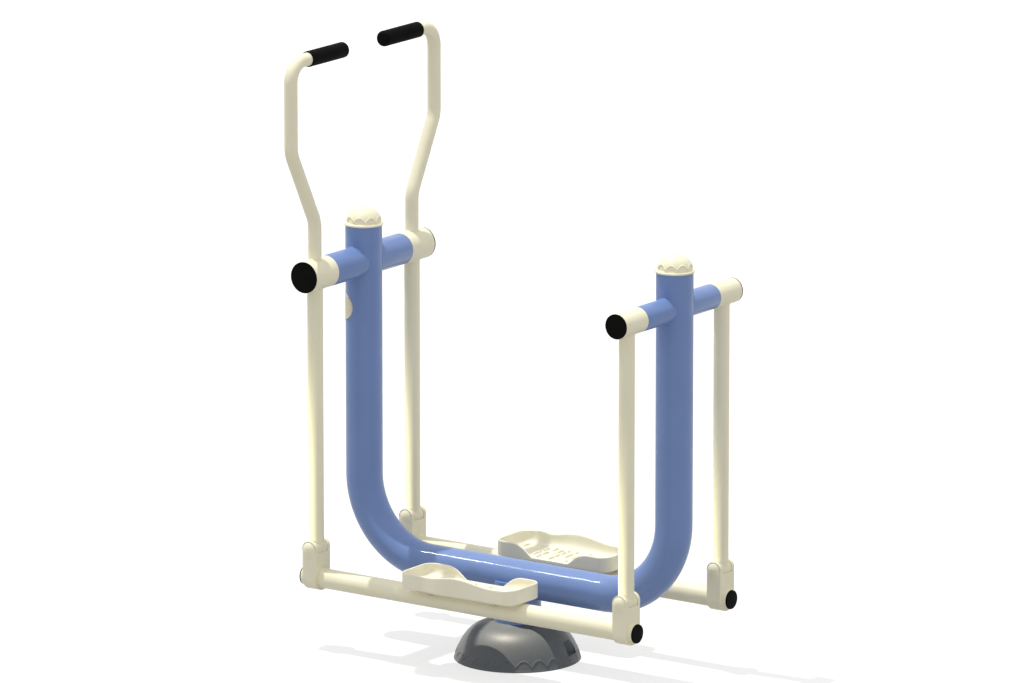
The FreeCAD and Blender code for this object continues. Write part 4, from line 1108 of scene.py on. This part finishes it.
def receivers(name, piece_names):
    """A collection of pieces that a lamp can be kept to."""
    group = bpy.data.collections.new(name)
    for piece_name in piece_names:
        group.objects.link(bpy.data.objects[piece_name])
    return group


arms = receivers("arms", [side_name + "_" + end_name + "_stem" for side_name in SIDES for end_name in ENDS])
covers = receivers("covers", [side_name + "_cover" for side_name in SIDES])

floor_mesh = bpy.data.meshes.new("floor")
floor_corners = [
    (FLOOR_HALF * x, FLOOR_HALF * y, FLOOR_Z) for x, y in ((-1, -1), (1, -1), (1, 1), (-1, 1))]
floor_mesh.from_pydata(floor_corners, [], [(0, 1, 2, 3)])
floor_mesh.materials.append(floor_material())
floor = bpy.data.objects.new("floor", floor_mesh)
scene.collection.objects.link(floor)

world = bpy.data.worlds.new("studio")
scene.world = world
world.use_nodes = True
world_nodes = Nodes(world.node_tree)
aloft = world_nodes.new("ShaderNodeSeparateXYZ", {
    0: world_nodes.new("ShaderNodeTexCoord").outputs["Generated"]}).outputs["Z"]
soft = world_nodes.new("ShaderNodeBackground", {
    "Color": (1.0, 0.99, 0.97, 1),
    "Strength": ramp(world_nodes, aloft, 0.0, 1.0, AMBIENT, AMBIENT * AMBIENT_ALOFT),
}).outputs[0]
white = world_nodes.new("ShaderNodeBackground", {"Color": (1, 1, 1, 1), "Strength": 1.0}).outputs[0]
world_nodes.new("ShaderNodeOutputWorld", {"Surface": world_nodes.new(
    "ShaderNodeMixShader", {0: towards_eye(world_nodes), 1: soft, 2: white}).outputs[0]})


def lamp(name, kind, towards, energy, place=(0, 0, 0), **settings):
    """A lamp whose light comes from the direction given."""
    data = bpy.data.lights.new(name, kind)
    data.energy = energy
    for key, value in settings.items():
        setattr(data, key, value)
    obj = bpy.data.objects.new(name, data)
    scene.collection.objects.link(obj)
    obj.location = place
    obj.rotation_mode = "QUATERNION"
    obj.rotation_quaternion = Vector(towards).to_track_quat("Z", "Y")
    return obj


lamp("sun", "SUN", SUN_FROM, SUN, angle=SUN_WIDTH, color=(1.0, 0.98, 0.92))

# the same sun again for the covers, whose dark gloss shows it brighter
low_sun = lamp("low_sun", "SUN", SUN_FROM, 4.4, angle=SUN_WIDTH, color=(1.0, 0.86, 0.6))
low_sun.light_linking.receiver_collection = covers

# pale ground and walls to the left of the photo, which light the arms' lower halves
beam = lamp("low_left", "AREA", (-0.68, -0.72, 0.18), 4.3, place=(-1.77, -1.88, 0.74),
            shape="RECTANGLE", size=2.4, size_y=0.46, color=(1.0, 0.98, 0.64), spread=math.radians(12))
beam.visible_glossy = False
beam.light_linking.receiver_collection = arms

# the thin bright line along the main tube
glint = lamp("glint", "SUN", (-0.564, -0.175, 0.809), 0.5, angle=math.radians(5), use_shadow=False)
glint.visible_diffuse = False
